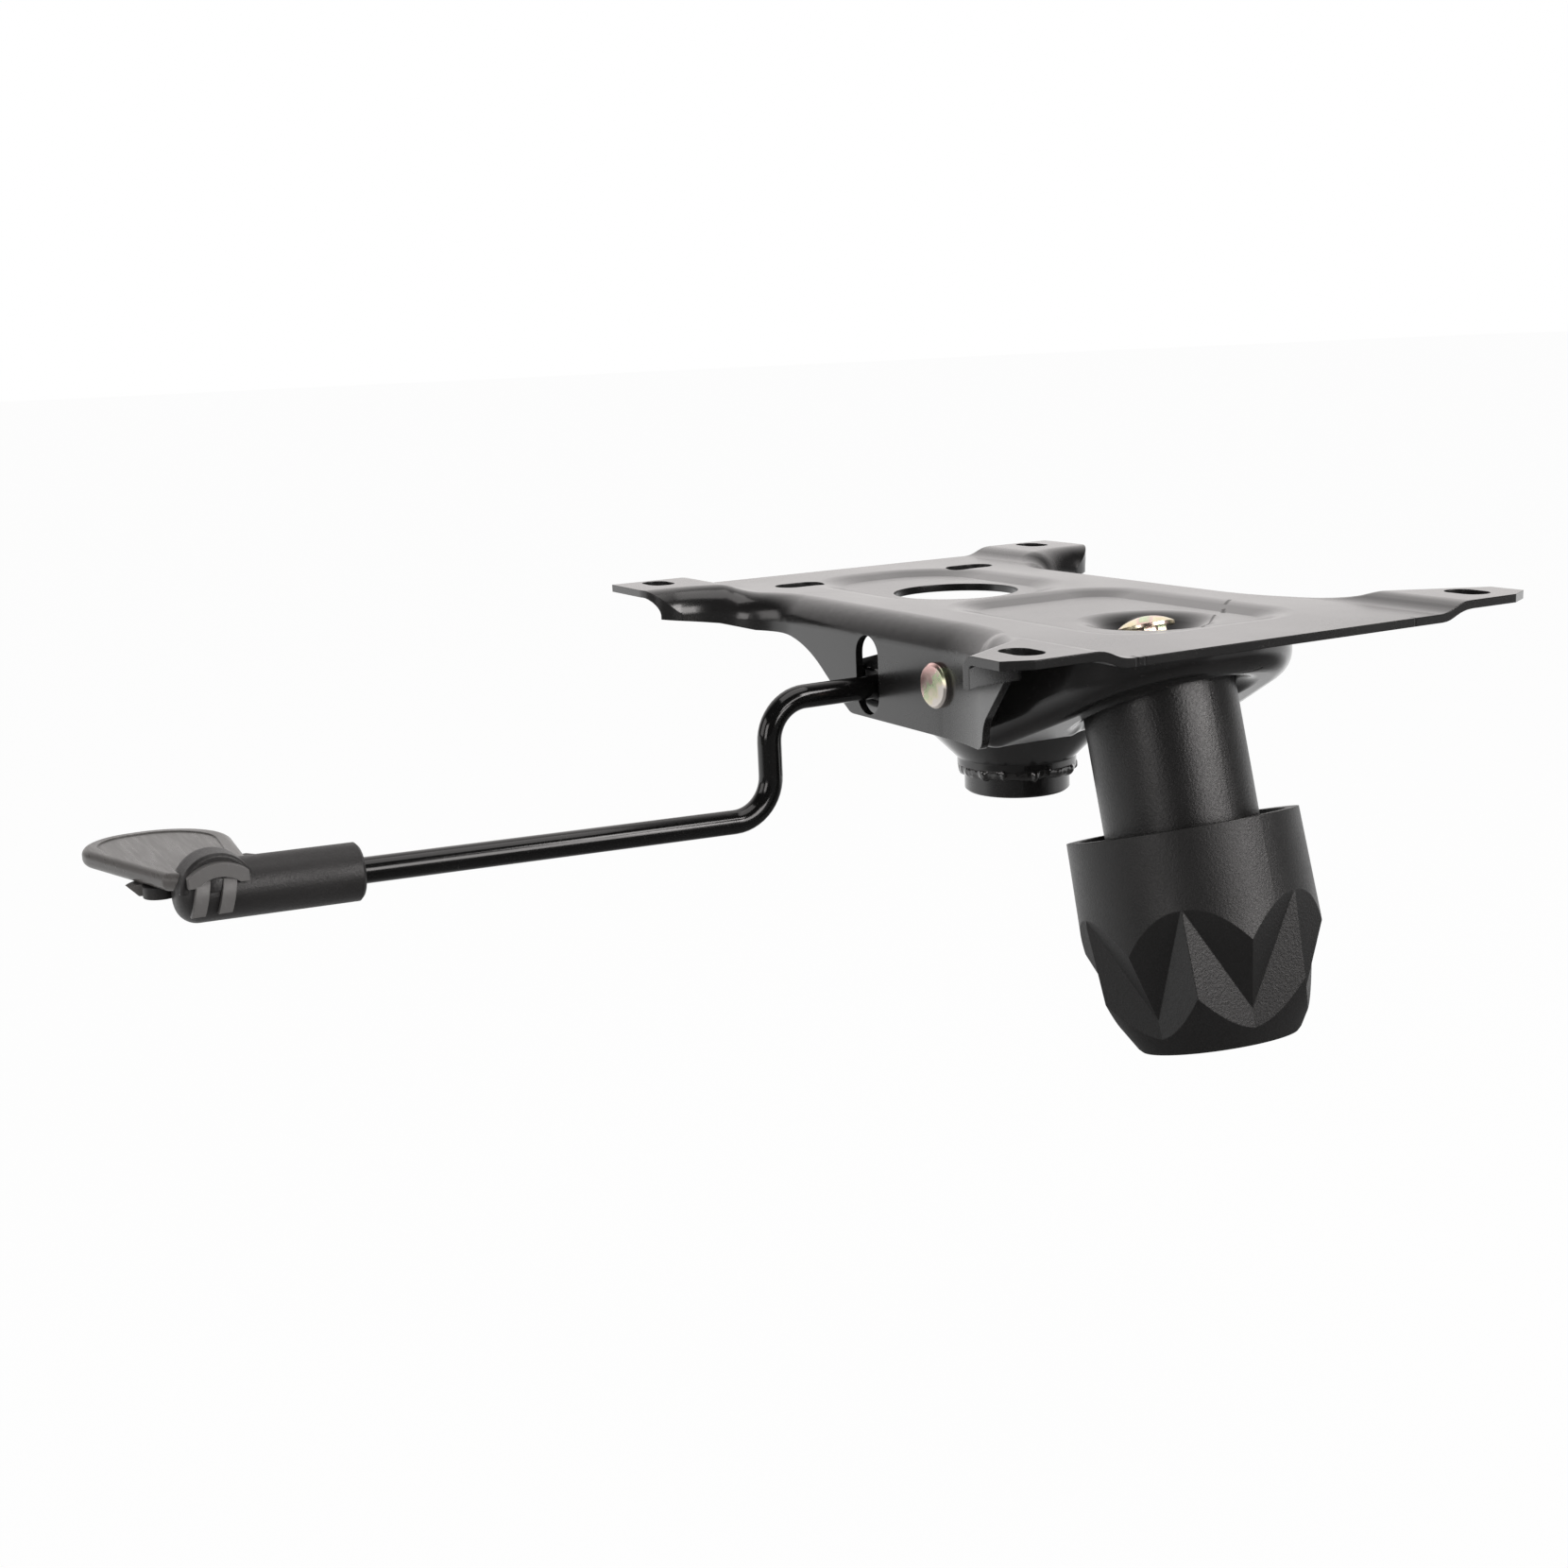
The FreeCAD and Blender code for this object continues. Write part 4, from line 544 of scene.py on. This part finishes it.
def make_world():
    """White surroundings behind the object that fall off to a dim studio in front of it."""
    world = bpy.data.worlds.new("studio")
    world.use_nodes = True
    nodes, links = world.node_tree.nodes, world.node_tree.links
    back = nodes["Background"]
    place = nodes.new("ShaderNodeTexCoord")
    facing = nodes.new("ShaderNodeVectorMath")
    facing.operation = "DOT_PRODUCT"
    facing.inputs[1].default_value = BACKDROP_WAY
    fall = nodes.new("ShaderNodeMapRange")
    fall.interpolation_type = "SMOOTHSTEP"
    set_range(fall, WORLD_FALL)
    path = nodes.new("ShaderNodeLightPath")
    seen = nodes.new("ShaderNodeMath")
    seen.operation = "MAXIMUM"
    links.new(place.outputs["Generated"], facing.inputs[0])
    links.new(facing.outputs["Value"], fall.inputs["Value"])
    links.new(path.outputs["Is Camera Ray"], seen.inputs[0])
    links.new(fall.outputs["Result"], seen.inputs[1])
    links.new(seen.outputs["Value"], back.inputs["Strength"])
    tint = nodes.new("ShaderNodeMix")
    tint.data_type = "RGBA"
    factor, unseen, shown = (tint.inputs[place] for place in MIX_SOCKETS)
    unseen.default_value = (*LIGHT_TINT, 1.0)
    shown.default_value = (*WHITE, 1.0)
    links.new(path.outputs["Is Camera Ray"], factor)
    links.new(tint.outputs[MIX_RESULT], back.inputs["Color"])
    bpy.context.scene.world = world


def soft_light(name, place, target, size, power):
    """A rectangular soft light aimed at a point, which the camera doesn't see."""
    data = bpy.data.lights.new(name, "AREA")
    data.shape = "RECTANGLE"
    data.size, data.size_y = size
    data.energy = power
    data.color = LIGHT_TINT
    lamp = bpy.data.objects.new(name, data)
    lamp.location = place
    lamp.rotation_mode = "QUATERNION"
    lamp.rotation_quaternion = (Vector(target) - Vector(place)).to_track_quat("-Z", "Y")
    lamp.visible_camera = False
    bpy.context.collection.objects.link(lamp)


def make_camera():
    """The photograph's camera."""
    azimuth, elevation = math.radians(CAMERA_AZIMUTH), math.radians(CAMERA_ELEVATION)
    roll = math.radians(CAMERA_ROLL)
    level = math.cos(elevation)
    back = Vector((math.sin(azimuth) * level, -math.cos(azimuth) * level, math.sin(elevation)))
    right = (-back).cross(Vector((0, 0, 1))).normalized()
    up = back.cross(right)
    turned_right = right * math.cos(roll) + up * math.sin(roll)
    turned_up = up * math.cos(roll) - right * math.sin(roll)
    data = bpy.data.cameras.new("camera")
    data.lens, data.sensor_width = CAMERA_LENS, CAMERA_SENSOR
    data.clip_start, data.clip_end = CAMERA_CLIP
    camera = bpy.data.objects.new("camera", data)
    camera.matrix_world = Matrix((
        (turned_right.x, turned_up.x, back.x, CAMERA_PLACE[0]),
        (turned_right.y, turned_up.y, back.y, CAMERA_PLACE[1]),
        (turned_right.z, turned_up.z, back.z, CAMERA_PLACE[2]),
        (0, 0, 0, 1)))
    bpy.context.collection.objects.link(camera)
    bpy.context.scene.camera = camera


make_floor()
make_world()
make_camera()
for lamp in LAMPS:
    soft_light(*lamp)
bpy.context.scene.view_settings.view_transform = "Standard"
